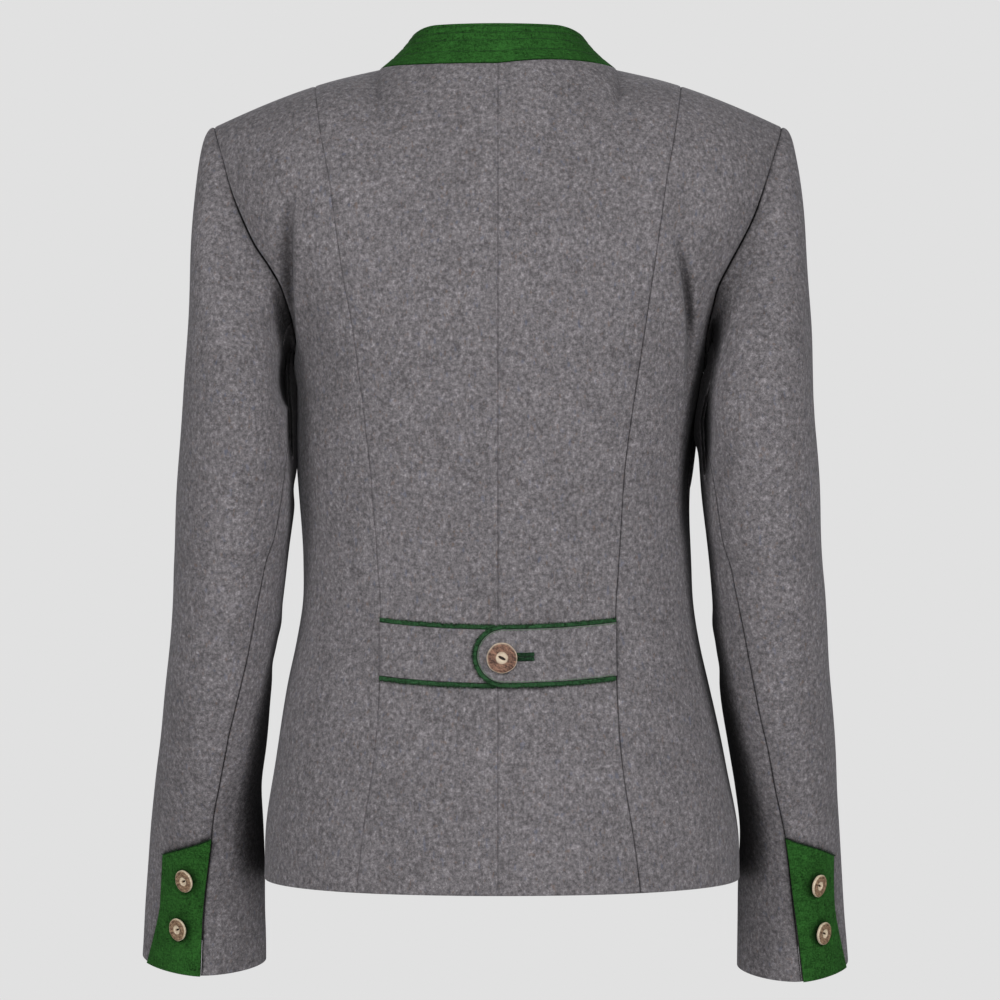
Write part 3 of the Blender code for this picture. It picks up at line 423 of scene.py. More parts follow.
def paintedCreviceShade(tree, place, shade):
    # painted shade: how open the cloth lies, lowest where other cloth shuts it in, as the share of the
    # cloth's colour that is kept; the reach changes between two heights
    shut = tree.nodes.new("ShaderNodeAmbientOcclusion")
    shut.samples, shut.only_local = 6, shade["own"]
    split = tree.nodes.new("ShaderNodeSeparateXYZ")
    tree.links.new(place, split.inputs[0])
    tree.links.new(
        rampNode(tree, split.outputs["Z"], *shade["heights"], shade["low"], shade["high"]),
        shut.inputs["Distance"],
    )
    strength = rampNode(
        tree, split.outputs["Z"], *shadeFade["heights"], shade["strength"], shadeFade["strength"]
    )
    return mathNode(
        tree, "MAXIMUM", mathNode(tree, "POWER", shut.outputs["AO"], strength), shadeFade["darkest"],
    )


def clothMaterial(name, group, values, sheen, shade):
    material, tree, shader = newMaterial(name)
    node = groupNode(tree, group, values, coordinates="Object")
    place = node.inputs["Vector"].links[0].from_socket
    openness = paintedCreviceShade(tree, place, shade)
    # painted shade: the colour and the sheen are scaled down by how open the cloth lies
    scale = tree.nodes.new("ShaderNodeVectorMath")
    scale.operation = "SCALE"
    tree.links.new(node.outputs["Colour"], scale.inputs[0])
    tree.links.new(openness, scale.inputs["Scale"])
    tree.links.new(scale.outputs[0], shader.inputs["Base Color"])
    tree.links.new(mathNode(tree, "MULTIPLY", openness, sheen[0]), shader.inputs["Sheen Weight"])
    tree.links.new(node.outputs["Normal"], shader.inputs["Normal"])
    setSockets(
        shader,
        {"Roughness": 0.95, "Specular IOR Level": 0.1, "Sheen Roughness": 0.5, "Sheen Tint": sheen[1]},
    )
    return material


def antlerMaterial(name, values):
    material, tree, shader = newMaterial(name)
    node = groupNode(tree, antlerPattern, values, coordinates="cloth", attribute="polish_and_slot_shade")
    for label, socket in (("Colour", "Base Color"), ("Roughness", "Roughness"), ("Normal", "Normal")):
        tree.links.new(node.outputs[label], shader.inputs[socket])
    setSockets(shader, {"Specular IOR Level": 0.4})
    return material


def plainMaterial(name, colour, roughness, sheen=0.0):
    material, tree, shader = newMaterial(name)
    setSockets(
        shader,
        {
            "Base Color": (*colour, 1), "Roughness": roughness, "Specular IOR Level": 0.15,
            "Sheen Weight": sheen,
        },
    )
    return material


millPattern, feltPattern, antlerPattern = lodenGroup(), feltGroup(), antlerGroup()
lodenSheen, lodenColour = (0.2, (0.8, 0.8, 0.85, 1)), {"Colour": (0.180, 0.168, 0.177, 1)}
# shade painted into each cloth's colour: whether only its own piece shuts it in, between which heights the
# reach goes from low to high, and how strongly it darkens
ownShade = {"own": True, "heights": (0, 1), "low": 0.03, "high": 0.03, "strength": 2.4}
foldShade = {"own": False, "heights": (-0.27, -0.22), "low": 0.022, "high": 0.010, "strength": 2.0}
closeShade = {"own": False, "heights": (0, 1), "low": 0.012, "high": 0.012, "strength": 1.4}
loden = clothMaterial("grey loden", millPattern, lodenColour, lodenSheen, ownShade)
# copies of the same loden that differ only in how far and how strongly shade is painted into them
foldShadedLoden = clothMaterial("grey loden with painted fold shade", millPattern, lodenColour, lodenSheen, foldShade)
sleeveShadedLoden = {
    -1: clothMaterial("grey loden with painted shade, left sleeve", millPattern, lodenColour, lodenSheen, {
        "own": False, "heights": (-0.48, -0.36), "low": 0.024, "high": 0.016, "strength": 2.8}),
    1: clothMaterial("grey loden with painted shade, right sleeve", millPattern, lodenColour, lodenSheen, {
        "own": False, "heights": (-0.48, -0.36), "low": 0.022, "high": 0.024, "strength": 2.6}),
}
felt = clothMaterial(
    "green felt", feltPattern, {"Colour": (0.0235, 0.0985, 0.018, 1)}, (0.05, (0.4, 0.7, 0.4, 1)),
    closeShade,
)
barkAntler = antlerMaterial("bark antler", {})
paleAntler = antlerMaterial("pale antler", {
    "Dark": (0.115, 0.058, 0.034, 1), "Light": (0.46, 0.31, 0.19, 1), "Bone": (0.88, 0.75, 0.56, 1),
    "Streak Scale": 900.0,
})
edgingFelt = clothMaterial(
    "dark green felt", feltPattern, {"Colour": (0.022, 0.066, 0.027, 1), "Fibre Depth": 0.8},
    (0.05, (0.4, 0.7, 0.4, 1)), ownShade,
)
weltFelt = clothMaterial(
    "welt felt", feltPattern, {"Colour": (0.014, 0.040, 0.019, 1), "Fibre Depth": 0.9},
    (0.05, (0.4, 0.7, 0.4, 1)), ownShade,
)
greenThread = plainMaterial("green thread", (0.012, 0.052, 0.011), 0.9, 0.2)
paleThread = plainMaterial("pale green thread", (0.13, 0.20, 0.13), 0.85, 0.2)
darkThread = plainMaterial("dark thread", (0.012, 0.015, 0.012), 0.9)
print("materials made", flush=True)


# ---- the body's form

body = {
    "hem": -575.7, "underarm": -215.0, "cloth": 2.2, "halfGap": 0.01,
    # under the arm the edge curls over wider: middle height, reach up and down, width
    "armCurl": (-152.0, 20.0, 2.0),
    "neckHalfWidth": 84.0, "backNeckDepth": 2.2, "rightNeckRise": 3.0, "backNeckReach": 62.0,
    "frontNeckDepth": 72.0, "frontNeckReach": 86.0,
    "shoulderHalfWidth": 202.0, "shoulderDrop": 41.3, "shoulderBow": 4.2,
    "lap": 14.0, "lapEase": 13.0, "layerGap": 0.4,
    "rows": 170, "centreColumns": 40, "sideColumns": 56,
    "sections": {
        "height": (-576, -540, -494, -436, -408, -379, -351, -308, -270, -230, -190, -150, -110, -60, 20),
        "left": (167.2, 166, 158.6, 149.5, 143.7, 139.5, 139.6, 141.8, 143.6, 144.2, 152, 175, 196, 209, 209),
        "right": (
            171.8, 171.2, 162.5, 149.5, 143.7, 139.5, 138.2, 137.2, 139.8, 143.8, 152, 175, 196, 209, 209,
        ),
        "back": (119, 118, 113, 103, 99, 96, 96, 100, 105, 109, 112, 111, 107, 100, 100),
        "front": (112, 112, 109, 105, 103, 102, 104, 112, 123, 130, 127, 117, 106, 97, 97),
        "middle": (4, 4, 4, 5, 6, 7, 8, 9, 9, 9, 8, 6, 3, 0, 0),
        "squareness": (2.2, 2.2, 2.2, 2.25, 2.25, 2.3, 2.3, 2.35, 2.4, 2.4, 2.35, 2.3, 2.3, 2.3, 2.3),
    },
    "princess": {
        "height": (-576, -528, -487, -428, -368, -321, -280, -236, -205, -167, -132, -96, -60, -16),
        "back": (97.5, 91.8, 85.5, 81.8, 81.8, 85.5, 88.6, 94, 98.4, 104.4, 109.8, 114.8, 121.5, 130),
        "front": (96, 90, 84, 79, 77, 81, 88, 92, 95, 100, 106, 113, 121, 130),
    },
    "armhole": {
        "height": (-197, -181, -160, -145, -130, -112, -90, -66, -43),
        "back": (142.5, 145, 150.5, 158.8, 169, 178, 187, 194, 202),
        "backRight": (146, 148.8, 154, 161, 168.7, 177.2, 185.2, 194, 202),
        "front": (145, 147, 150.5, 154.5, 160.5, 169.5, 181, 191.5, 202),
    },
    # standing folds beside the back armholes: side, top, its x, foot, its x, bow, crest, its half-width,
    # the depth of the hollow beyond it and how wide the cloth falls into it and climbs out of it
    "folds": (
        (1, -122, 119, -232, 127.5, 4.5, 1.4, 8.0, 12.5, 2.6, 6.0),
        (1, -212, 146, -334, 130, -7.0, 0.8, 8.0, 22.0, 3.5, 12.0),
        (-1, -96, 139.4, -214, 140.2, 0.0, 1.6, 9.0, 16.0, 2.4, 8.0),
    ),
    # small creases on top of them: side, x, height, length, half-width, lean in degrees, rise
    "creases": (
        (-1, 112, -190, 90, 9, 72, 0.9), (-1, 126, -330, 60, 7, 12, -0.8), (-1, 120, -352, 70, 8, 8, 0.8),
        (1, 108, -205, 100, 10, 105, 0.9), (1, 122, -318, 64, 8, 170, -0.9), (1, 118, -344, 74, 8, 172, 0.8),
        (-1, 60, -350, 90, 12, 4, 0.5), (1, 62, -356, 90, 12, 176, 0.5), (-1, 70, -60, 70, 14, 140, 0.5),
        (1, 72, -62, 70, 14, 40, 0.5), (-1, 150, -470, 60, 10, 60, 0.8), (1, 150, -462, 60, 10, 120, 0.8),
    ),
}


def sectionRadius(turn, side, height):
    # a rounded section: (across / half width)^n + (along / half depth)^n = 1
    across, along = np.sin(np.radians(turn)), np.cos(np.radians(turn))
    rows = body["sections"]
    wide = np.where(across * side < 0, readTable(rows, "left", height), readTable(rows, "right", height))
    middle = readTable(rows, "middle", height)
    deep = np.where(
        along > 0, readTable(rows, "back", height) + middle, readTable(rows, "front", height) - middle,
    )
    power = readTable(rows, "squareness", height)
    return (np.abs(across / wide) ** power + np.abs(along / deep) ** power) ** (-1 / power)


def topEdge(turn, side):
    # height and forward place of the neckline or of the shoulder seam at a turn from the centre back
    x = np.abs(sectionRadius(turn, side, 0.0) * np.sin(np.radians(turn)))
    isBack = np.cos(np.radians(turn)) > 0
    share = np.clip(x / body["neckHalfWidth"], 0, 1)
    # the back neckline stands a little higher on the right
    backDip = body["backNeckDepth"] * (1 - share**2) - (side > 0) * body[
        "rightNeckRise"
    ] * np.sin(np.pi * share)
    dip = np.where(isBack, backDip, body["frontNeckDepth"] * (1 - share**2) ** 0.75)
    reach = np.where(isBack, -body["backNeckReach"], body["frontNeckReach"]) * np.sqrt(1 - share**2)
    span = body["shoulderHalfWidth"] - body["neckHalfWidth"]
    along = np.clip(x - body["neckHalfWidth"], 0, None)
    bow = body["shoulderBow"] * np.sin(np.pi * np.clip(along / span, 0, 1))
    return bow - dip - body["shoulderDrop"] / span * along, reach


def foldLift(x, height, side, facingBack):
    lift, drop = np.zeros(np.broadcast(x, height).shape), np.zeros(np.broadcast(x, height).shape)
    onBack = smoothStep(facingBack, 0.15, 0.5)
    nearEdge = smoothStep(facingBack, 0.04, 0.22)
    for foldSide, top, topX, foot, footX, bow, crest, wide, hollow, fall, climb in body["folds"]:
        run = (top - height) / (top - foot)
        past = x - (topX + (footX - topX) * run + bow * np.sin(np.pi * np.clip(run, 0, 1)))
        fade = (side == foldSide) * nearEdge * np.sin(np.pi * np.clip(run, 0, 1)) ** 0.8
        lift = lift + onBack * fade * crest * np.exp(-((past / np.where(past < 0, wide, fall)) ** 2))
        drop = drop + fade * hollow * smoothStep(past, 0, fall) * np.exp(
            -((np.clip(past - fall, 0, None) / climb) ** 2)
        )
    for creaseSide, midX, midZ, length, wide, lean, high in body["creases"]:
        way = math.radians(lean)
        along = (x - midX) * math.cos(way) + (height - midZ) * math.sin(way)
        off = -(x - midX) * math.sin(way) + (height - midZ) * math.cos(way)
        shape = np.exp(-((off / wide) ** 2) - (2 * along / length) ** 4)
        lift = lift + (side == creaseSide) * onBack * high * shape
    return lift, drop


def bodyPoint(turn, side, share):
    # out from the section's middle by its radius; near the top the cloth bends over to the shoulder
    turn, share = np.broadcast_arrays(np.asarray(turn, float), np.asarray(share, float))
    top, topY = topEdge(turn, side)
    height = body["hem"] + share * (top - body["hem"])
    radius = sectionRadius(turn, side, height)
    angle = np.radians(turn)
    x = radius * np.sin(angle)
    plainY = readTable(body["sections"], "middle", height) - radius * np.cos(angle)
    nearShoulder = smoothStep(np.abs(x), 45, 125)
    down = np.clip((top - height) / (160 - 50 * nearShoulder), 0, 1)
    y = topY + (plainY - topY) * (1 - (1 - down) ** 3) ** (1 / (1 + nearShoulder))
    lift, drop = foldLift(np.abs(x), height, side, np.cos(angle))
    swell = ripple(x * side, height, ((170, 62, 0.4, 0.35), (118, 100, 1.9, 0.3), (86, 20, 4.0, 0.22)))
    lift = lift + swell * smoothStep(top - height, 5, 60)
    return np.stack([(x + lift * np.sin(angle)) * side, y - lift * np.cos(angle) + drop, height], -1)


def bodyNormal(turn, side, share):
    turn, share = np.broadcast_arrays(np.asarray(turn, float), np.asarray(share, float))
    low, high = np.clip(share - 0.0006, 0, 1), np.clip(share + 0.0006, 0, 1)
    across = bodyPoint(turn + 0.4, side, share) - bodyPoint(turn - 0.4, side, share)
    along = bodyPoint(turn, side, high) - bodyPoint(turn, side, low)
    return unit(np.cross(across, along)) * side


def turnAt(x, side, height, front):
    # the turn at which the section at this height is x wide, found by halving
    low, high = np.zeros(np.shape(height)), np.full(np.shape(height), 90.0)
    for _ in range(32):
        mid = (low + high) / 2
        turn = 180 - mid if front else mid
        wide = sectionRadius(turn, side, height) * np.sin(np.radians(turn))
        low, high = np.where(wide < x, mid, low), np.where(wide < x, high, mid)
    return 180 - low if front else low


def shareOf(height, side, turn):
    top, _ = topEdge(turn, side)
    return (height - body["hem"]) / (top - body["hem"])


def seamTurn(kind, side, share, front):
    share = np.asarray(share, float)
    table = body[kind]
    heights = np.array(table["height"], float)
    word = "front" if front else "backRight" if side > 0 and "backRight" in table else "back"
    turns = turnAt(np.array(table[word], float), side, heights, front)
    shares = shareOf(heights, side, turns)
    shares[-1] = 1.0
    turn = smoothThrough(shares, turns, share)
    if kind == "princess":
        return turn
    bottom = float(shareOf(body["underarm"], side, 90.0))
    rise = np.clip((share - bottom) / (shares[0] - bottom), 0, 1)
    return np.where(share < shares[0], 90 + (turns[0] - 90) * np.sqrt(rise), turn)


def neckShare(columns, side, front):
    # columns of a centre panel along its top edge, one of them on the corner of the neck
    part = 5 / 7
    start = math.asin((-body["lap"] if front else 0.0) / body["neckHalfWidth"])
    along = start + (math.pi / 2 - start) * np.clip(columns / part, 0, 1)
    rest = np.clip(columns / part - 1, 0, None) * part / (1 - part)
    x = body["neckHalfWidth"] * np.sin(along) + (body["princess"]["back"][-1] - body["neckHalfWidth"]) * rest
    turn = turnAt(np.abs(x), side, np.zeros(len(columns)), front)
    turn = np.where(x < 0, 2 * (180 if front else 0) - turn, turn)
    return (turn - turn[0]) / (turn[-1] - turn[0])


def lapEdge(side, shares):
    height = body["hem"] + shares * (-body["frontNeckDepth"] - body["hem"])
    return 180 + np.degrees(np.arcsin(body["lap"] / sectionRadius(180.0, side, height)))


def rowShares(side):
    # rows crowd at the hem, the underarm and the shoulder
    bottom = float(shareOf(body["underarm"], side, 90.0))
    foot = np.array([0, 0.2, 0.5, 0.9, 1.4, 2.2]) / 560
    lower = np.linspace(foot[-1], bottom, int(body["rows"] * 0.62))[1:-1]
    ease = (1 - np.cos(np.pi * np.linspace(0, 1, int(body["rows"] * 0.38)))) / 2
    return np.concatenate([foot, lower, bottom + (1 - bottom) * ease])


def armDitch(height):
    middle, reach, width = body["armCurl"]
    return width * np.exp(-(((height - middle) / reach) ** 2))


def bodyPanel(
    name, side, first, last, columns, front=False, toNeck=False, under=False, roll=(1.4, 2.0, 2.0, 2.0),
):
    shares = rowShares(side)[:, None]
    across = crowded(columns, 100.0 if toNeck else 80.0, (0, 0.15, 0.45, 0.9, 1.5, 2.3))[None, :]
    if toNeck:
        settle = smoothStep(shares, 0.78, 1.0)
        across = across + settle * (neckShare(across[0], side, front)[None, :] - across)
    start, end = first(shares[:, 0])[:, None], last(shares[:, 0])[:, None]
    gap = np.degrees(body["halfGap"] / 140.0) * np.sign(end - start)
    turns = start + gap + (end - start - 2 * gap) * across
    outer = bodyPoint(turns, side, shares)
    normal = bodyNormal(turns, side, shares)
    if under:
        past = smoothStep(-outer[..., 0] * side, -body["lap"] - body["lapEase"], -body["lap"] - 0.8)
        outer = outer - normal * ((body["cloth"] + body["layerGap"]) * past)[..., None]
    if "side_back" in name:
        # the cloth curls over more widely where the armhole turns under the arm
        roll = np.broadcast_to(np.array(roll), outer.shape[:2] + (4,)).copy()
        roll[..., 3] += armDitch(outer[..., 2])
    onNeck = np.abs(sectionRadius(turns, side, 0.0) * np.sin(np.radians(turns))) < body["neckHalfWidth"] - 0.5
    atSeam = smoothStep(shares, 0.995, 1.0)[..., None] * (~onNeck)[..., None]
    outer = outer + atSeam * np.array([0, 0.15 if front else -0.15, 0])
    normal = unit(normal * (1 - atSeam * np.array([0, 1, 0])))
    return clothWall(
        name, outer, normal, body["cloth"], foldShadedLoden if name == "side_back_right" else loden, roll,
        shift=37.0 * (1 + len(pieces)),
    )




# ---- the sleeves' form

sleeve = {
    "cloth": 2.2, "capRows": 60, "tubeRows": 130, "upperColumns": 40, "underColumns": 44,
    "tubeTop": -250.0, "cuffs": {-1: -639.5, 1: -644.0}, "backStart": 0.126, "frontStart": 0.057,
    "sections": {
        "height": (-690, -644, -582, -538, -508, -480, -450, -408, -350, -294, -250, -206),
        "leftOuter": (263, 259, 254, 250, 246.4, 242, 238, 232.7, 229.9, 226.2, 222.4, 219),
        "leftInner": (168.6, 168.6, 168.6, 169.2, 169.6, 166.4, 163.2, 157, 150, 142.4, 142.1, 140.6),
        "rightOuter": (259, 254.8, 249.2, 246.3, 243.4, 240.7, 238.4, 234.8, 230, 226.4, 223.6, 220),
        "rightInner": (174, 173.8, 173.6, 174.6, 170.4, 164.8, 159.3, 155.2, 150.2, 143.2, 140.5, 139),
        "halfDepth": (46, 46, 46, 46, 48, 49, 51, 53, 57, 60, 62, 63),
        "forward": (58, 51, 40, 29, 21, 12, 4, -5, -12, -22, -28, -32),
        "squareness": (1.65, 1.65, 1.68, 1.75, 1.8, 1.9, 1.95, 2, 2.05, 2.1, 2.15, 2.15),
        "leftBackSeam": (90, 91.5, 93, 98, 101, 103, 107, 114, 123, 133, 142, 142),
        "rightBackSeam": (81, 86, 92, 98, 101, 103, 107, 114, 123, 133, 142, 142),
        "frontSeam": (210, 211, 212, 213, 214, 215, 215, 217, 219, 221, 222, 222),
    },
    # how the cap leaves the armhole: around, sideways, forward, down, reach, rise
    "cap": (
        (0, 1.0, 0.0, -0.04, 15.5, 122), (90, 0.80, -0.30, 0.50, 26, 50), (180, 0.80, -0.10, 0.50, 5.5, 12),
        (270, 0.80, 0.25, 0.50, 26, 50), (360, 1.0, 0.0, -0.04, 15.5, 122),
    ),
    # soft creases: side, height, around, length, half-width, lean in degrees, rise
    "creases": (
        (-1, -120, 100, 80, 8, 108, -1.2), (-1, -146, 118, 90, 8, 116, 1.0), (-1, -330, 128, 90, 9, 150, 0.9),
        (-1, -352, 120, 90, 9, 160, -1.0), (-1, -372, 60, 90, 11, 20, 0.8), (-1, -470, 112, 80, 8, 160, -0.8),
        (1, -150, 60, 120, 9, 58, -1.1), (1, -170, 76, 110, 9, 62, 0.9), (1, -335, 124, 90, 9, 30, 1.0),
        (1, -356, 118, 90, 9, 22, -1.0), (1, -380, 62, 90, 11, 165, 0.8), (1, -476, 110, 80, 8, 25, -0.8),
        (-1, -395, 190, 90, 9, 10, 1.2), (1, -395, 190, 90, 9, 10, 1.2), (-1, -425, 200, 80, 9, 5, -1.1),
        (1, -425, 200, 80, 9, 5, -1.1), (-1, -400, 300, 90, 10, 0, 0.9), (1, -400, 300, 90, 10, 0, 0.9),
    ),
    # deep hollows beside the body: side, x, height, half-width, half-length, depth
    "tucks": (
        (-1, -145.6, -221.0, 8.3, 20.0, 42.0), (-1, -142.2, -248, 4.9, 34, 28.0),
        (1, 147.8, -193.4, 5.6, 14, 28.0), (1, 140.8, -251.4, 7.2, 45, 34.0),
    ),
    # where the sleeve presses towards the body: side, forward, height, half-depth, half-length, rise
    "presses": (
        (-1, -20, -223, 11, 13, 3.2), (-1, -18, -241, 11, 10, 0.7), (-1, 13, -229, 8, 13, 1.6),
        (1, -22, -228, 11, 12, 1.4), (1, 14, -224, 8, 10, 0.4), (1, -22, -256, 12, 14, 0.8),
        (1, -31, -236, 8, 22, 1.8), (1, -26, -262, 12, 8, 2.0), (1, -30, -220, 9, 9, 1.9),
        (-1, -31, -222, 8, 12, 1.2),
        (-1, -28, -230, 9, 9, 1.2), (-1, -18, -298, 18, 9, -2.2),
    ),
}


def backSeamAngle(side, height):
    return readTable(sleeve["sections"], "leftBackSeam" if side < 0 else "rightBackSeam", height)


def sleeveAxis(side, height):
    rows = sleeve["sections"]
    word = "left" if side < 0 else "right"
    x = (readTable(rows, word + "Outer", height) + readTable(rows, word + "Inner", height)) / 2
    return np.stack([side * x, readTable(rows, "forward", height), np.asarray(height, float)], -1)


def tubePoint(side, height, around):
    # a rounded section square to the sleeve's line; around is 0 outside, 90 at the back
    height, around = np.broadcast_arrays(np.asarray(height, float), np.asarray(around, float))
    rows = sleeve["sections"]
    word = "left" if side < 0 else "right"
    wide = (readTable(rows, word + "Outer", height) - readTable(rows, word + "Inner", height)) / 2
    deep, power = readTable(rows, "halfDepth", height), readTable(rows, "squareness", height)
    down = unit(sleeveAxis(side, height - 4) - sleeveAxis(side, height + 4))
    out = np.zeros(down.shape)
    out[..., 0] = side
    out = unit(out - (out * down).sum(-1, keepdims=True) * down)
    back = np.cross(down, out) * side
    angle = np.radians(around)
    radius = (np.abs(np.cos(angle) / wide) ** power + np.abs(np.sin(angle) / deep) ** power) ** (-1 / power)
    return sleeveAxis(side, height) + radius[..., None] * (
        np.cos(angle)[..., None] * out + np.sin(angle)[..., None] * back
    )


def armholeCurve(side):
    # the armhole as points and angles: down the back to 180 under the arm, and up the front to 360
    bottom = float(shareOf(body["underarm"], side, 90.0))
    ease = (1 + np.cos(np.pi * np.linspace(0, 1, 241))) / 2
    shares = bottom + (1 - bottom) * ease
    halves = []
    for front in (False, True):
        turns = seamTurn("armhole", side, shares, front)
        points, normals = bodyPoint(turns, side, shares), bodyNormal(turns, side, shares)
        normals[0, 1] = 0
        length = np.concatenate([[0], np.cumsum(np.linalg.norm(np.diff(points, axis=0), axis=1))])
        halves.append((points, unit(normals), 180 * length / length[-1], ease))
    (p, n, a, e), (q, m, b, f) = halves
    return {
        "points": np.concatenate([p, q[-2::-1]]), "normals": np.concatenate([n, m[-2::-1]]),
        "angles": np.concatenate([a, 360 - b[-2::-1]]),
        "backSeam": float(np.interp(-sleeve["backStart"], -e, a)),
        "frontSeam": float(360 - np.interp(-sleeve["frontStart"], -f, b)),
    }


def sleeveGrid(side, hole, part, columns):
    # rows of points from the armhole to the cuff over one panel: cubic cap, then the tube
    seams = (hole["backSeam"], hole["frontSeam"])
    start, end = ((seams[1] - 360, seams[0]) if part == "upper" else seams)
    share = crowded(columns, 150.0, (0, 0.15, 0.45, 0.9, 1.5, 2.3))
    foot = sleeve["cuffs"][side] + np.array([0, 0.2, 0.5, 0.9, 1.4, 2.2])
    heights = np.concatenate([np.linspace(sleeve["tubeTop"], foot[-1], sleeve["tubeRows"])[:-1], foot[::-1]])
    rows = sleeve["sections"]
    back, front = backSeamAngle(side, heights), readTable(rows, "frontSeam", heights)
    first, last = ((front - 360, back) if part == "upper" else (back, front))
    # between a seam and the shoulder line each half stretches by itself
    if part == "upper":
        loopAngle = start + (end - start) * share
        behind = loopAngle > 0
        around = np.where(
            behind[None], back[:, None] * (loopAngle / end)[None],
            (front - 360)[:, None] * (loopAngle / start)[None]
        )
    else:
        loopAngle = start + (end - start) * share
        around = first[:, None] + (last - first)[:, None] * share[None]
    wrapped = np.mod(loopAngle, 360)
    loop = np.stack([np.interp(wrapped, hole["angles"], hole["points"][:, k]) for k in range(3)], -1)
    away = unit(np.stack([np.interp(wrapped, hole["angles"], hole["normals"][:, k]) for k in range(3)], -1))
    cap = np.array(sleeve["cap"], float)
    sideways, forward, down, reach, rise = (smoothThrough(cap[:, 0], cap[:, k], wrapped) for k in range(1, 6))
    leaving = unit(np.stack([sideways * side, forward, -down], -1))
    top = tubePoint(side, heights[0], around[0])
    falling = unit(tubePoint(side, heights[0] - 2, around[0]) - top)
    begin = loop + leaving * 0.16
    t = crowded(sleeve["capRows"], 90.0, (0, 0.15, 0.45, 0.9, 1.5, 2.3))
    t = np.concatenate([t[:-6], [1.0]])[:, None, None]
    first, second = begin + leaving * reach[:, None], top - falling * rise[:, None]
    capPart = (1 - t) ** 3 * begin + 3 * t * (1 - t) ** 2 * first + 3 * t * t * (1 - t) * second + t**3 * top
    tubePart = tubePoint(side, heights[1:, None], around[1:])
    grid = np.concatenate([capPart, tubePart])
    axis = np.concatenate([
        np.broadcast_to(sleeveAxis(side, sleeve["tubeTop"]) + np.array([0, 0, 60.0]), (len(t), 3)),
        sleeveAxis(side, heights[1:]),
    ])[:, None]
    return grid, axis, loopAngle, around, away


def sleeveLift(grid, side, around, normal):
    # creases and a slow swell, faded out at the seams' ends, the armhole and the cuff
    height = grid[..., 2]
    lift = 0.35 * ripple(
        around * 0.9, height, ((150, 70, 0.5 + side, 1.0), (90, 110, 2.0 * side, 0.8), (61, 40, 1.0, 0.5)),
    )
    for creaseSide, midZ, midAround, length, wide, lean, high in sleeve["creases"]:
        way = math.radians(lean)
        a = (np.mod(around - midAround + 180, 360) - 180) * 0.95 * side
        along = a * math.cos(way) + (height - midZ) * math.sin(way)
        off = -a * math.sin(way) + (height - midZ) * math.cos(way)
        lift = lift + (side == creaseSide) * high * np.exp(-((off / wide) ** 2) - (2 * along / length) ** 4)
    away = edgeDistances(grid)
    calm = 1 - smoothStep(height, -345, -305) * np.exp(-(((np.mod(around, 360) - 172) / 38) ** 2))
    lift = lift * calm * smoothStep(away[..., 0], 2, 30) * smoothStep(away[..., 1], 0, 40)
    facing = smoothStep(-normal[..., 1], 0.15, 0.32)
    drop = 0 * lift
    for tuckSide, x, midZ, wide, long, deep in sleeve["tucks"]:
        shape = np.exp(-((((grid[..., 0] - x) / wide) ** 2 + ((height - midZ) / long) ** 2) ** 2))
        drop = np.maximum(drop, (side == tuckSide) * deep * facing * shape * smoothStep(away[..., 0], 0, 7))
    inside = smoothStep(-normal[..., 0] * side, 0.4, 0.8)
    for pressSide, forward, midZ, deep, long, rise in sleeve["presses"]:
        shape = np.exp(-(((grid[..., 1] - forward) / deep) ** 2) - ((height - midZ) / long) ** 2)
        lift = lift + (side == pressSide) * rise * inside * shape
    return lift, drop


def sleevePanel(name, side, hole, part):
    columns = sleeve["upperColumns"] * 2 if part == "upper" else sleeve["underColumns"]
    grid, axis, loopAngle, around, armholeNormal = sleeveGrid(side, hole, part, columns)
    normal = faceAway(gridNormals(grid), grid, axis)
    near = smoothStep(np.cos(np.radians(loopAngle)), 0.3, 0.95)[None, :, None]
    fade = np.clip(1 - edgeDistances(grid)[..., :1] / 8, 0, 1)
    normal = unit(normal + near * fade * (armholeNormal[None] - normal))
    wide = np.concatenate(
        [np.broadcast_to(around[:1], (grid.shape[0] - around.shape[0] + 1,) + around.shape[1:]), around[1:]]
    )
    lift, drop = sleeveLift(grid, side, wide, normal)
    grid = grid + normal * lift[..., None] + drop[..., None] * np.array([0, 1.0, 0])
    gap = unit(grid[:, 1:2] - grid[:, :1]) * 0.08, unit(grid[:, -2:-1] - grid[:, -1:]) * 0.08
    grid = np.concatenate([grid[:, :1] + gap[0], grid[:, 1:-1], grid[:, -1:] + gap[1]], axis=1)
    roll = np.broadcast_to(np.array([1.8, 1.4, 2.0, 2.0]), grid.shape[:2] + (4,)).copy()
    roll[..., 0] += armDitch(grid[:1, :, 2]) * (grid[:1, :, 1] < 0)
    return clothWall(
        name, grid, normal, sleeve["cloth"], sleeveShadedLoden[side], roll, shift=41.0 * (1 + len(pieces)),
    )


# ---- the stand collar

collar = {
    "rise": 28.6, "sideRise": 27.8, "topHalfWidth": 61.5, "topBack": 53.0, "topFront": 68.0, "hollow": 2.0,
    # the top edge falls off towards the sides: from this turn to that, by this much
    "fall": {-1: (45, 92, 5.5), 1: (40, 90, 6.0)},
    "felt": 2.6, "endGap": 1.5, "columns": 220, "rows": 30, "stitchRows": (0.93, 0.77, 0.58, 0.30),
    "groove": 0.45,
    "topStitch": {"length": 2.6, "space": 0.5, "thread": 0.17},
}


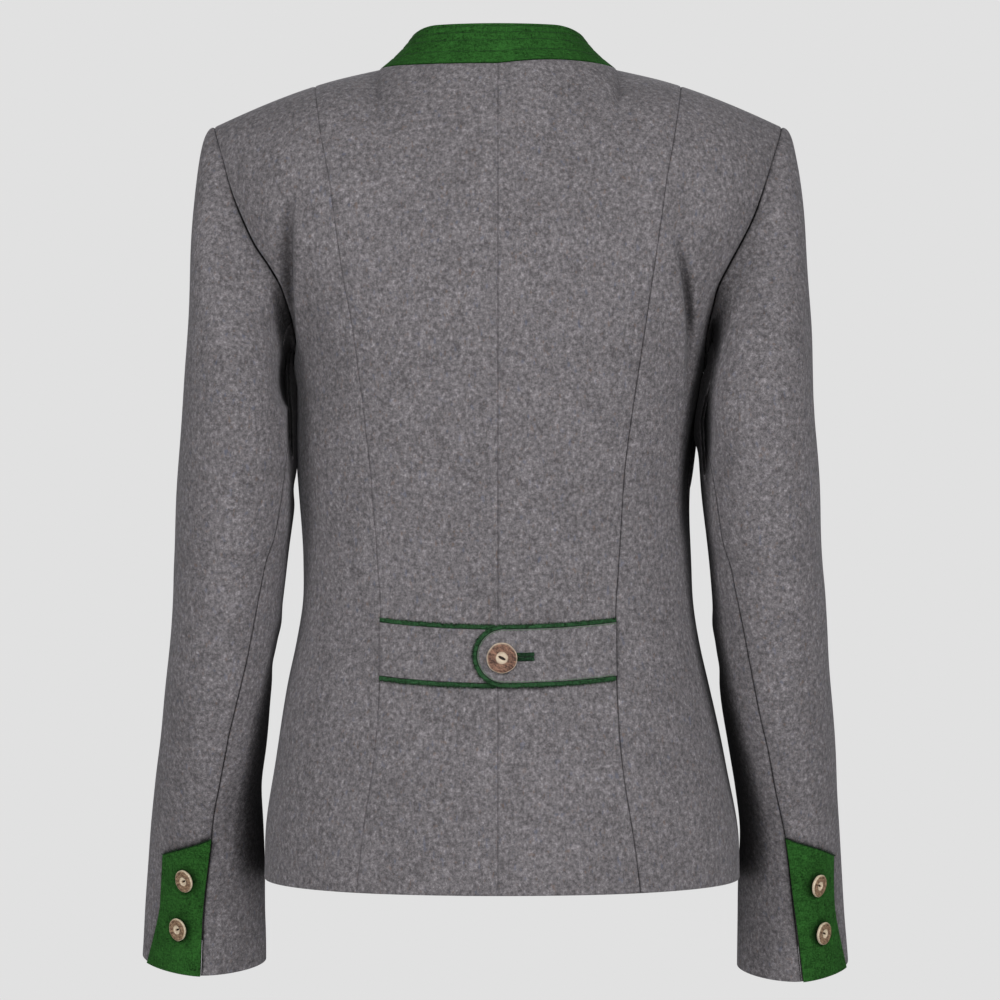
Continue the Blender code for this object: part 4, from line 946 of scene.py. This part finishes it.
def collarFace(level, ring):
    # ring runs from -180 to 180 with 0 at the back; level climbs from the neckline to the top edge
    side = np.where(ring < 0, -1, 1)
    x = np.clip(body["neckHalfWidth"] * np.sin(np.radians(np.abs(ring))), 0, body["neckHalfWidth"] - 0.05)
    isBack = np.abs(ring) < 90
    zero = np.zeros(len(ring))
    turn = np.where(isBack, turnAt(x, 1, zero, False), turnAt(x, 1, zero, True))
    base = np.where((side < 0)[:, None], bodyPoint(turn, -1, 1.0), bodyPoint(turn, 1, 1.0))
    base[:, 0] = side * x
    reach = np.where(isBack, body["backNeckReach"], body["frontNeckReach"])
    angle = np.arctan2(x / body["neckHalfWidth"], -base[:, 1] / reach)
    backShare = np.cos(angle)
    rise = collar["sideRise"] + (collar["rise"] - collar["sideRise"]) * np.abs(backShare)
    falls = [
        depth * smoothStep(np.degrees(angle), start, end) for start, end, depth in collar["fall"].values()
    ]
    rise = rise - np.where(side < 0, *falls) * (1 - smoothStep(np.degrees(angle), 95, 150))
    rise = rise - body["rightNeckRise"] * np.sin(np.pi * x / body["neckHalfWidth"]) * ((side > 0) & isBack)
    reachTop = np.where(backShare > 0, collar["topBack"], collar["topFront"])
    topX = side * collar["topHalfWidth"] * np.sin(angle)
    top = np.stack([topX, -reachTop * backShare, base[:, 2] + rise], -1)
    outward = np.stack([side * np.sin(angle), -backShare, 0 * angle], -1)
    level = level[:, None, None]
    bend = -collar["hollow"] * np.sin(np.pi * level)
    return base + np.array([0, 0, 0.25]) + (top - base) * level + outward * bend, np.broadcast_to(
        outward, (len(level),) + outward.shape,
    )


def collarPiece():
    end = 180 - math.degrees(math.asin(collar["endGap"] / 2 / body["neckHalfWidth"]))
    ring = -end + 2 * end * crowded(collar["columns"], 480.0, (0, 0.3, 0.8, 1.5, 2.4))
    level = crowded(collar["rows"], collar["rise"], (0, 0.2, 0.5, 0.9, 1.4))
    level = np.unique(
        np.concatenate([level, [row + step for row in collar["stitchRows"] for step in (-0.02, 0, 0.02)]])
    )
    grid, outward = collarFace(level, ring)
    slope = unit(np.gradient(grid, axis=0))
    normal = unit(outward - (outward * slope).sum(-1, keepdims=True) * slope)
    for row in collar["stitchRows"]:
        grid = grid - normal * (collar["groove"] * np.exp(-(((level - row) / 0.022) ** 2)))[:, None, None]
    stitched = [np.abs(level - row).argmin() for row in collar["stitchRows"]]
    collar["lines"] = [(grid[row], normal[row]) for row in stitched]
    puff = 0.12 * ripple(ring * 1.4, 0 * ring, ((23, 0, 0.3, 1.0), (11, 0, 1.0, 0.5)))
    grid = grid + normal * (puff[None] * np.sin(np.pi * level)[:, None])[..., None]
    return clothWall("collar", grid, normal, collar["felt"], felt, (0.9, 1.3, 1.3, 1.3), shift=11.0)


# ---- the half belt, laid on the back

belt = {
    "middleHeight": -413.8, "endHeight": -409.2, "halfWidth": 18.3, "reach": 82.0, "cloth": 1.8,
    "gap": 0.4, "roundCentre": 4.2, "underEnd": 30.0, "stepStart": 31.0, "stepEnd": 46.0,
    "pipingWidth": 3.0, "pipingCloth": 1.5, "pipingGap": 0.12,
    "weltLength": 24.5, "weltWidth": 2.9, "weltCloth": 0.9, "weltRise": -0.8, "buttonRise": -1.6,
    "edgeStitch": {"inset": 0.6, "length": 3.2, "space": 0.7, "thread": 0.28},
    "fuzz": {"length": 2.2, "radius": 0.1, "perMillimetre": 4.0},
}


def backSurface(x, height):
    # point and outward direction of the back at a distance from its centre and a height
    found = []
    for side in (-1, 1):
        turn = turnAt(np.abs(x), side, height, False)
        share = shareOf(height, side, turn)
        found.append((bodyPoint(turn, side, share), bodyNormal(turn, side, share)))
    onLeft = (x < 0)[..., None]
    return np.where(onLeft, found[0][0], found[1][0]), np.where(onLeft, found[0][1], found[1][1])


def beltLine(x):
    return belt["endHeight"] + (belt["middleHeight"] - belt["endHeight"]) * (1 - (x / belt["reach"]) ** 2)


def beltLift(x):
    over = 1 - smoothStep(x, belt["stepStart"], belt["stepEnd"])
    return belt["gap"] + (belt["cloth"] + belt["gap"]) * over


def laidCloth(name, x, across, lift, thickness, material, roll, puff=0.0):
    # a cloth lying on the back: its underside is lifted off the back, its face puffs a little
    points, normals = backSurface(x, beltLine(x) + across)
    swell = puff * ripple(x, across, ((47, 20, 0.5, 0.6), (19, 75, 1.0, 0.4), (31, 120, 2.2, 0.4)))
    outer = points + normals * (lift + thickness + swell)[..., None]
    return clothWall(name, outer, normals, thickness, material, roll, shift=29.0 * (1 + len(pieces)))


def beltEnd(side, across):
    return side * (readTable(body["princess"], "back", beltLine(belt["reach"]) + across) - 0.2)


def beltGrid(rows, columns, width):
    across = (2 * crowded(rows, width, (0, 0.15, 0.4, 0.8, 1.3)) - 1)[:, None] * width / 2
    along = crowded(columns, 90.0, (0, 0.15, 0.4, 0.8, 1.3))[None]
    return across, along


def beltPieces():
    half = belt["halfWidth"]
    across, along = beltGrid(22, 60, 2 * half)
    x = beltEnd(-1, across) * (1 - along) + belt["underEnd"] * along
    keep(
        "belt_left",
        laidCloth(
            "belt_left", x, across + 0 * x, belt["gap"] + 0 * x, belt["cloth"], loden, (1.6, 1.6, 1.2, 1.2),
            0.25,
        ),
    )
    turned = np.sin((np.linspace(-1, 1, 41) * math.pi / 2))[:, None] * half
    start = belt["roundCentre"] - np.sqrt(np.clip(half**2 - turned**2, 0, None))
    x = start * (1 - along) + beltEnd(1, turned) * along
    keep(
        "belt_right",
        laidCloth(
            "belt_right", x, turned + 0 * x, beltLift(x), belt["cloth"], loden, (1.6, 1.6, 1.6, 1.2), 0.25,
        ),
    )


def pipingPieces():
    half, gap = belt["halfWidth"], belt["pipingGap"]
    width = gap + belt["pipingWidth"] * crowded(6, belt["pipingWidth"], (0, 0.12, 0.4, 0.8))[:, None]
    along = crowded(70, 85.0, (0, 0.3, 0.8))[None]
    for word, way in (("upper", 1), ("lower", -1)):
        wave = 0.18 * np.sin(along * 17 + way) + 0.12 * np.sin(along * 39)
        across = way * (half + width + wave * smoothStep(along, 0, 0.1))
        x = beltEnd(-1, way * (half + width)) * (1 - along) + (belt["roundCentre"] - 6) * along
        keep(
            "piping_left_" + word,
            laidCloth(
                "piping_left_" + word, x, across, belt["gap"] + 0 * x, belt["pipingCloth"], edgingFelt,
                (1.0, 1.0, 0.8, 0.8), 0.15,
            ),
        )
    radius = half + width
    straight = np.linspace(1, 0, 52)[:-1]
    turns = np.radians(np.linspace(90, 270, 61))
    run = belt["roundCentre"] + (beltEnd(1, np.array([half]))[0] - belt["roundCentre"]) * straight
    x = np.concatenate(
        [0 * width + run, belt["roundCentre"] + radius * np.cos(turns), 0 * width + run[::-1]], axis=1,
    )
    across = np.concatenate([radius + 0 * run, radius * np.sin(turns), -radius - 0 * run], axis=1)
    keep(
        "piping_right",
        laidCloth(
            "piping_right", x, across, beltLift(x), belt["pipingCloth"], edgingFelt, (1.0, 1.0, 0.8, 0.8),
            0.15,
        ),
    )


def fuzz(name, points, outward, normals, seed, material):
    # short loose fibres along an edge: each starts just inside it and curls out over it
    size = belt["fuzz"]
    steps = np.concatenate([[0], np.cumsum(np.linalg.norm(np.diff(points, axis=0), axis=1))])
    chance = np.random.default_rng(seed)
    count = int(steps[-1] * size["perMillimetre"])
    place = chance.uniform(0, steps[-1], count)
    read = lambda rows: np.stack([np.interp(place, steps, rows[:, k]) for k in range(3)], -1)
    start, out, up = read(points), unit(read(outward)), unit(read(normals))
    along = np.cross(out, up)
    length = size["length"] * chance.uniform(0.35, 1.0, (count, 1))
    lean = chance.normal(0, 0.7, (count, 1)) * along
    first = start - out * 0.3 + up * 0.1
    second = first + length * unit(out + lean + 0.5 * up) * 0.55
    third = second + length * unit(out + lean * 1.6 - 0.35 * up) * 0.45
    paths = np.stack([first, second, third], axis=1)
    extra(name, tubes(name, paths, size["radius"], 4, material, taper=(1, 1, 0.3)))


def beltTrimmings():
    # loose fibres on the strips' outer edges, and the row of stitches round the buttoned end
    half = belt["halfWidth"] + belt["pipingGap"] + belt["pipingWidth"]
    x = np.linspace(-belt["reach"] + 1, belt["roundCentre"] - 6, 90)
    for word, way in (("upper", 1), ("lower", -1)):
        points, normals = backSurface(x, beltLine(x) + way * half)
        fuzz(
            "fuzz_left_" + word, points + normals * (belt["gap"] + 0.9),
            np.array([[0, 0, way]]) + 0 * points, normals, 3 + way, edgingFelt,
        )
    straight, turns = np.linspace(
        belt["reach"] - 1, belt["roundCentre"], 70,
    ), np.radians(np.linspace(90, 270, 60))
    out = np.concatenate([[[0, 1.0]] * 70, np.stack([np.cos(turns), np.sin(turns)], -1), [[0, -1.0]] * 70])
    x = np.concatenate([straight, 0 * turns + belt["roundCentre"], straight[::-1]])
    for name, radius, lift in (
        ("fuzz_right", half, 0.9),
        ("stitches", belt["halfWidth"] - belt["edgeStitch"]["inset"], belt["cloth"] + 0.12),
    ):
        place, across = x + radius * out[:, 0], radius * out[:, 1]
        points, normals = backSurface(place, beltLine(place) + across)
        points = points + normals * (beltLift(place) + lift)[:, None]
        outward = np.stack([out[:, 0], 0 * place, out[:, 1]], -1)
        if name == "fuzz_right":
            fuzz(name, points, outward, normals, 9, edgingFelt)
        else:
            stitches("belt_stitches", points, normals, belt["edgeStitch"], paleThread)


def stitches(name, points, normals, size, material):
    # a row of thread stitches along a line: each dips into the cloth at both ends
    steps = np.concatenate([[0], np.cumsum(np.linalg.norm(np.diff(points, axis=0), axis=1))])
    pitch = size["length"] + size["space"]
    starts = np.arange(0.5, steps[-1] - pitch, pitch)[:, None]
    inside = np.array([0, 0.08, 0.3, 0.7, 0.92, 1.0])[None]
    place = starts + size["length"] * inside
    dip = np.broadcast_to(np.array([-0.35, 0.02, 0.1, 0.1, 0.02, -0.35]), place.shape)
    read = lambda rows: np.stack([np.interp(place, steps, rows[:, k]) for k in range(3)], -1)
    paths = read(points) + unit(read(normals)) * dip[..., None]
    extra(name, tubes(name, paths, size["thread"], 6, material))


def weltPieces():
    x = -1.0 + (belt["weltLength"] + 1.0) * crowded(26, 25.0, (0, 0.15, 0.5, 1.0))[None]
    for word, way in (("upper", 1), ("lower", -1)):
        wide = 0.12 + (belt["weltWidth"] - 0.12) * crowded(7, 2.8, (0, 0.15, 0.5, 0.9))[:, None]
        across = belt["weltRise"] + way * wide
        lift = 3 * belt["gap"] + 2 * belt["cloth"] - 0.15
        keep(
            "buttonhole_" + word,
            laidCloth(
                "buttonhole_" + word, x + 0 * wide, across + 0 * x, lift + 0 * x + 0 * wide,
                belt["weltCloth"], weltFelt, (0.8, 0.8, 0.7, 0.7), 0.1,
            ),
        )


# ---- the cuff patches

patch = {
    "cloth": 1.5, "gap": 0.5, "seamTop": {-1: 104.6, 1: 110.0}, "farTop": {-1: 86.5, 1: 89.0},
    "topAngle": {-1: 49.0, 1: 53.0}, "waistAngle": {-1: 47.0, 1: 48.0}, "footAngle": {-1: 66.0, 1: 63.0},
    "rows": 60, "columns": 36,
}


def cuffSurface(side, up, around):
    height = sleeve["cuffs"][side] + up
    points = tubePoint(side, height, around)
    along = tubePoint(side, height + 1, around) - tubePoint(side, height - 1, around)
    across = tubePoint(side, height, around + 1) - tubePoint(side, height, around - 1)
    normals = unit(np.cross(across, along))
    facing = np.sign(((points - sleeveAxis(side, height)) * normals).sum(-1, keepdims=True))
    return points, normals * facing


def patchGrid(side, along, across):
    foot = np.clip(1 - along / 0.55, 0, 1) ** 1.3
    top, waist, end = (patch[word][side] for word in ("topAngle", "waistAngle", "footAngle"))
    limit = top + (waist - top) * np.sin(np.pi * along) + (end - top) * foot
    up = along * (patch["seamTop"][side] + (patch["farTop"][side] - patch["seamTop"][side]) * across)
    seam = backSeamAngle(side, sleeve["cuffs"][side] + up)
    return cuffSurface(side, up, seam - 0.6 - limit * across)


def patchPieces():
    for side, word in ((-1, "left"), (1, "right")):
        along = crowded(patch["rows"], 100.0, (0, 0.15, 0.4, 0.8, 1.3))[:, None]
        across = crowded(patch["columns"], 60.0, (0, 0.15, 0.4, 0.8, 1.3))[None]
        points, normals = patchGrid(side, along, across)
        points = points + normals * (patch["gap"] + patch["cloth"])
        keep(
            "cuff_patch_" + word,
            clothWall(
                "cuff_patch_" + word, points, normals, patch["cloth"], felt, (1.2, 1.3, 1.0, 1.3),
                shift=17.0 * side,
            ),
        )
        fuzz("patch_fuzz_" + word, points[-1], points[-1] - points[-4], normals[-1], 20 + side, edgingFelt)


# ---- buttons: a turned disc, dished in the middle, with an oval slot and a worn rim

button = {
    "beltDiameter": 21.0, "cuffDiameter": 16.2, "frontDiameter": 21.0, "segments": 96,
    "frontHeights": (-98.0, -182.0, -266.0, -350.0, -434.0), "frontLift": 0.5, "cuffHeights": (34.0, 73.0),
    "cuffOffset": {-1: (20.6, 18.3), 1: (23.5, 23.5)}, "tilt": (0.24, 0.3),
}


def buttonPiece(name, diameter, place, facing, roll, material, seed=1.0):
    radius = diameter / 2
    dish = radius * 0.39
    face = np.concatenate([
        np.linspace(0, dish * 0.8, 22), dish * np.array([0.88, 0.96, 1.04, 1.12, 1.22]),
        np.linspace(dish * 1.35, radius * 0.86, 14), radius * np.array([0.9, 0.94, 0.97, 0.99, 1.0]),
    ])
    top = np.interp(
        face / radius, (0, 0.30, 0.35, 0.39, 0.44, 0.6, 0.86, 0.94, 0.985, 1.0),
        (0.25, 0.3, 0.5, 0.85, 1.05, 1.15, 1.12, 0.95, 0.6, 0.3),
    )
    side = np.array(
        [[1.0, 0.0], [0.995, -0.5], [0.97, -1.0], [0.86, -1.35], [0.6, -1.55], [0.25, -1.6], [0.0, -1.6]]
    )
    r = np.concatenate([face, side[:, 0] * radius])[:, None]
    z = np.concatenate([top, side[:, 1]])[:, None]
    turn = np.linspace(0, 2 * np.pi, button["segments"], endpoint=False)[None]
    share = r / radius
    wobble = 1 + 0.012 * np.sin(3 * turn + seed) + 0.008 * np.sin(7 * turn + 2 * seed)
    x, y = r * np.cos(turn) * wobble, r * np.sin(turn) * wobble
    onFace = np.concatenate([np.ones(len(face)), np.zeros(len(side))])[:, None]
    bark = onFace * smoothStep(share, 0.42, 0.55) * (1 - smoothStep(share, 0.9, 1.0))
    grain = ripple(
        x, y,
        ((2.3, 8, seed, 0.06), (1.4, -6, 2 * seed, 0.05), (3.9, 14, 3 * seed, 0.08), (1.1, 30, seed, 0.03)),
    )
    halfLength, halfWidth = diameter * 0.125, diameter * 0.045
    slot = 1 - smoothStep(np.sqrt((x / halfLength) ** 2 + (y / halfWidth) ** 2), 0.75, 1.15)
    z = z + bark * grain - onFace * slot * 1.4
    dished = 1 - smoothStep(share, 0.37, 0.42)
    rim = smoothStep(share, 0.9 + 0.05 * np.sin(turn + 2.4), 0.99)
    # the mask: worn pale bone in the dish, on the rim and round the sides, and a value below zero in the slot
    # for painted shade
    polish_and_slot_shade = onFace * np.maximum(dished, rim) * (1 - slot) - onFace * slot + (1 - onFace)
    facing = unit(np.asarray(facing, float))
    right = unit(np.cross([0, 0, 1.0], facing))
    up = np.cross(facing, right)
    c, s = math.cos(roll), math.sin(roll)
    first, second = right * c + up * s, -right * s + up * c
    points = np.asarray(place) + x[..., None] * first + y[..., None] * second + (
        z + 0 * turn
    )[..., None] * facing
    number = np.arange(points.shape[0] * points.shape[1]).reshape(points.shape[:2])
    number[0] = number[0, 0]
    number[-1] = number[-1, 0]
    after = np.roll(number, -1, axis=1)
    faces = np.stack([number[:-1], number[1:], after[1:], after[:-1]], -1).reshape(-1, 4)
    uv = np.stack([x + 0 * z, y + 0 * z], -1).reshape(-1, 2)
    return addClosed(name, points.reshape(-1, 3), faces, material, uv, (polish_and_slot_shade + 0 * turn).ravel())


def addClosed(name, points, faces, material, uv, polish_and_slot_shade):
    # drops the spare copies of the two pole points and the flat corners of the faces round them
    used, packed = np.unique(faces, return_inverse=True)
    faces = packed.reshape(faces.shape)
    rows = []
    for face in faces.tolist():
        corners = list(dict.fromkeys(face))
        rows.append(corners)
    mesh = bpy.data.meshes.new(name)
    mesh.from_pydata((points[used] * millimetre).tolist(), [], rows)
    corner = np.zeros(len(mesh.loops), int)
    mesh.loops.foreach_get("vertex_index", corner)
    mesh.uv_layers.new(name="cloth").data.foreach_set("uv", (uv[used][corner] * millimetre).ravel())
    mesh.attributes.new("polish_and_slot_shade", "FLOAT", "POINT").data.foreach_set("value", polish_and_slot_shade[used].ravel())
    mesh.shade_smooth()
    mesh.materials.append(material)
    piece = bpy.data.objects.new(name, mesh)
    bpy.context.scene.collection.objects.link(piece)
    return piece


def buttonShank(name, place, facing, reach, material):
    # four strands of thread from the cloth to the back of the button
    facing = unit(np.asarray(facing, float))
    right = unit(np.cross([0, 0, 1.0], facing))
    up = np.cross(facing, right)
    corners = [(1, 0.5), (-1, 0.5), (1, -0.5), (-1, -0.5)]
    depth = np.linspace(1.7, 1.55 + reach, 5)[None, :, None]
    spread = np.array([a * right * 0.9 + b * up for a, b in corners])[:, None, :]
    paths = np.asarray(place) - depth * facing + spread * (
        1 - 0.35 * np.sin(np.pi * (depth - 1.7) / (reach + 0.01)).clip(0, 1)
    )
    return tubes(name, paths, 0.32, 6, material, taper=(1, 1, 1, 1, 1))


def buttonPieces():
    x = np.array([2.8])
    point, normal = backSurface(x, beltLine(x) + belt["buttonRise"])
    reach = 3 * belt["gap"] + 2 * belt["cloth"] + belt["weltCloth"]
    place = point[0] + normal[0] * (reach + 1.8)
    keep(
        "belt_button",
        buttonPiece(
            "belt_button", button["beltDiameter"], place, normal[0], math.radians(-27), barkAntler, 1.3,
        ),
    )
    extra(
        "belt_button_thread", buttonShank("belt_button_thread", place, normal[0], 0.5, darkThread),
    )
    for number, height in enumerate(button["frontHeights"], 1):
        share = shareOf(np.array([height]), 1, np.array([180.0]))
        point, normal = bodyPoint(np.array([180.0]), 1, share)[0], bodyNormal(np.array([180.0]), 1, share)[0]
        place = point + normal * (button["frontLift"] + 1.6)
        name = f"front_button_{number}"
        keep(
            name,
            buttonPiece(
                name, button["frontDiameter"], place, normal, math.radians(25 * number), barkAntler,
                1.0 + number,
            ),
        )
        extra(name + "_thread", buttonShank(name + "_thread", place, normal, 0.6, darkThread))
    for side, word in ((-1, "left"), (1, "right")):
        for number, up in enumerate(button["cuffHeights"], 1):
            seam = float(backSeamAngle(side, sleeve["cuffs"][side] + up))
            points, normals = cuffSurface(
                side, np.array([up]), np.array([seam - button["cuffOffset"][side][number - 1]]),
            )
            reach = 0.6 + patch["cloth"] + 0.4 + 0.9
            place = points[0] + normals[0] * (reach + 1.6)
            # each hangs a little turned on its thread
            facing = unit(normals[0] + button["tilt"][number - 1] * np.array([side, 0.35, 0]))
            name = f"cuff_button_{word}_{number}"
            keep(
                name,
                buttonPiece(
                    name, button["cuffDiameter"], place, facing, math.radians(-20 * side), paleAntler,
                    2.0 + number + side,
                ),
            )
            extra(
                name + "_thread", buttonShank(name + "_thread", place, normals[0], 0.9, darkThread),
            )


# ---- the pieces, in the order of sewing

pieces = {}


def keep(node, piece):
    # a cloth or button that stands for the CAD node of the same name
    pieces[node] = piece
    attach(piece, "root")
    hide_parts(node)


def extra(name, piece):
    # a detail of its own, such as a thread
    pieces[name] = piece
    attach(piece, "root")


def bodyPanels():
    middle = lambda turn: (lambda shares: turn + 0 * shares)
    seam = lambda kind, side, front: (lambda shares: seamTurn(kind, side, shares, front))
    for side, word in ((-1, "left"), (1, "right")):
        keep(
            "back_" + word,
            bodyPanel(
                "back_" + word, side, middle(0.0), seam("princess", side, False), body["centreColumns"],
                toNeck=True,
            ),
        )
        sideSeam = lambda shares, front, side=side: np.where(
            shares <= float(
                shareOf(body["underarm"], side, 90.0)
            ) + 1e-9, 90.0, seamTurn("armhole", side, shares, front))
        keep(
            "side_back_" + word,
            bodyPanel(
                "side_back_" + word, side, seam("princess", side, False), lambda s: sideSeam(s, False),
                body["sideColumns"],
            ),
        )
        keep(
            "side_front_" + word,
            bodyPanel(
                "side_front_" + word, side, lambda s: sideSeam(s, True), seam("princess", side, True),
                body["sideColumns"], front=True,
            ),
        )
        keep(
            "front_" + word,
            bodyPanel(
                "front_" + word, side, seam("princess", side, True), lambda s: lapEdge(side, s),
                body["centreColumns"], front=True, toNeck=True, under=side < 0,
            ),
        )


bodyPanels()
print("body panels made", flush=True)
for side, word in ((-1, "left"), (1, "right")):
    hole = armholeCurve(side)
    for part in ("upper", "under"):
        keep(f"{part}_sleeve_{word}", sleevePanel(f"{part}_sleeve_{word}", side, hole, part))
print("sleeves made", flush=True)
keep("collar", collarPiece())
for number, (line, outward) in enumerate(collar["lines"], 1):
    stitches(f"collar_stitches_{number}", line, outward, collar["topStitch"], greenThread)
beltPieces()
pipingPieces()
weltPieces()
beltTrimmings()
patchPieces()
print("collar, belt and patches made", flush=True)
buttonPieces()
print("buttons made", flush=True)


# ---- floor, backdrop, light and camera

def stagePiece(name, points, faces, colour):
    material, tree, shader = newMaterial(name)
    setSockets(shader, {"Base Color": (*colour, 1), "Roughness": 1.0, "Specular IOR Level": 0.0})
    piece = addMesh(name, points, faces, material)
    return piece


def softLight(name, place, aim, size, power, colour=(1, 1, 1)):
    lamp = bpy.data.lights.new(name, "AREA")
    lamp.shape, lamp.size, lamp.size_y = "RECTANGLE", size[0], size[1]
    lamp.energy, lamp.color = power, colour
    holder = bpy.data.objects.new(name, lamp)
    bpy.context.scene.collection.objects.link(holder)
    way = Vector(aim) - Vector(place)
    holder.matrix_world = Matrix.Translation(place) @ way.to_track_quat("-Z", "Y").to_matrix().to_4x4()


floorPoints = [(x, y, -1350.0) for x, y in ((-3000, -3000), (3000, -3000), (3000, 3000), (-3000, 3000))]
stagePiece("floor", floorPoints, [(0, 1, 2, 3)], (0.72, 0.72, 0.72))

# the room: plain pale grey where the camera sees it, and a weaker light on everything else
world = bpy.data.worlds.new("studio")
bpy.context.scene.world = world
world.use_nodes = True
room = world.node_tree
seen, around = room.nodes["Background"], room.nodes.new("ShaderNodeBackground")
seen.inputs["Color"].default_value, seen.inputs["Strength"].default_value = (0.753, 0.753, 0.753, 1), 1.0
around.inputs["Color"].default_value, around.inputs["Strength"].default_value = (1, 1, 1, 1), 0.06
choice = room.nodes.new("ShaderNodeMixShader")
room.links.new(room.nodes.new("ShaderNodeLightPath").outputs["Is Camera Ray"], choice.inputs[0])
room.links.new(around.outputs[0], choice.inputs[1])
room.links.new(seen.outputs[0], choice.inputs[2])
room.links.new(choice.outputs[0], room.nodes["World Output"].inputs["Surface"])

softLight("key", (0.1, -2.7, 0.6), (0, 0, -0.3), (2.2, 1.0), 37)
softLight("left fill", (-2.1, -2.0, 0.6), (0, 0, -0.3), (1.0, 1.6), 25)
softLight("right fill", (2.1, -2.0, 0.3), (0, 0, -0.3), (1.0, 1.6), 24)
softLight("far light", (0, 2.6, 1.2), (0, 0, -0.3), (1.6, 1.6), 14)

camera = bpy.data.cameras.new("camera")
camera.sensor_width, camera.lens = 36.0, 126.2
holder = bpy.data.objects.new("camera", camera)
holder.location, holder.rotation_euler = (0.0014, -2.5, -0.3066), (math.radians(90), 0, 0)
bpy.context.scene.collection.objects.link(holder)
bpy.context.scene.camera = holder
bpy.context.scene.view_settings.view_transform = "Standard"
print("studio made", flush=True)
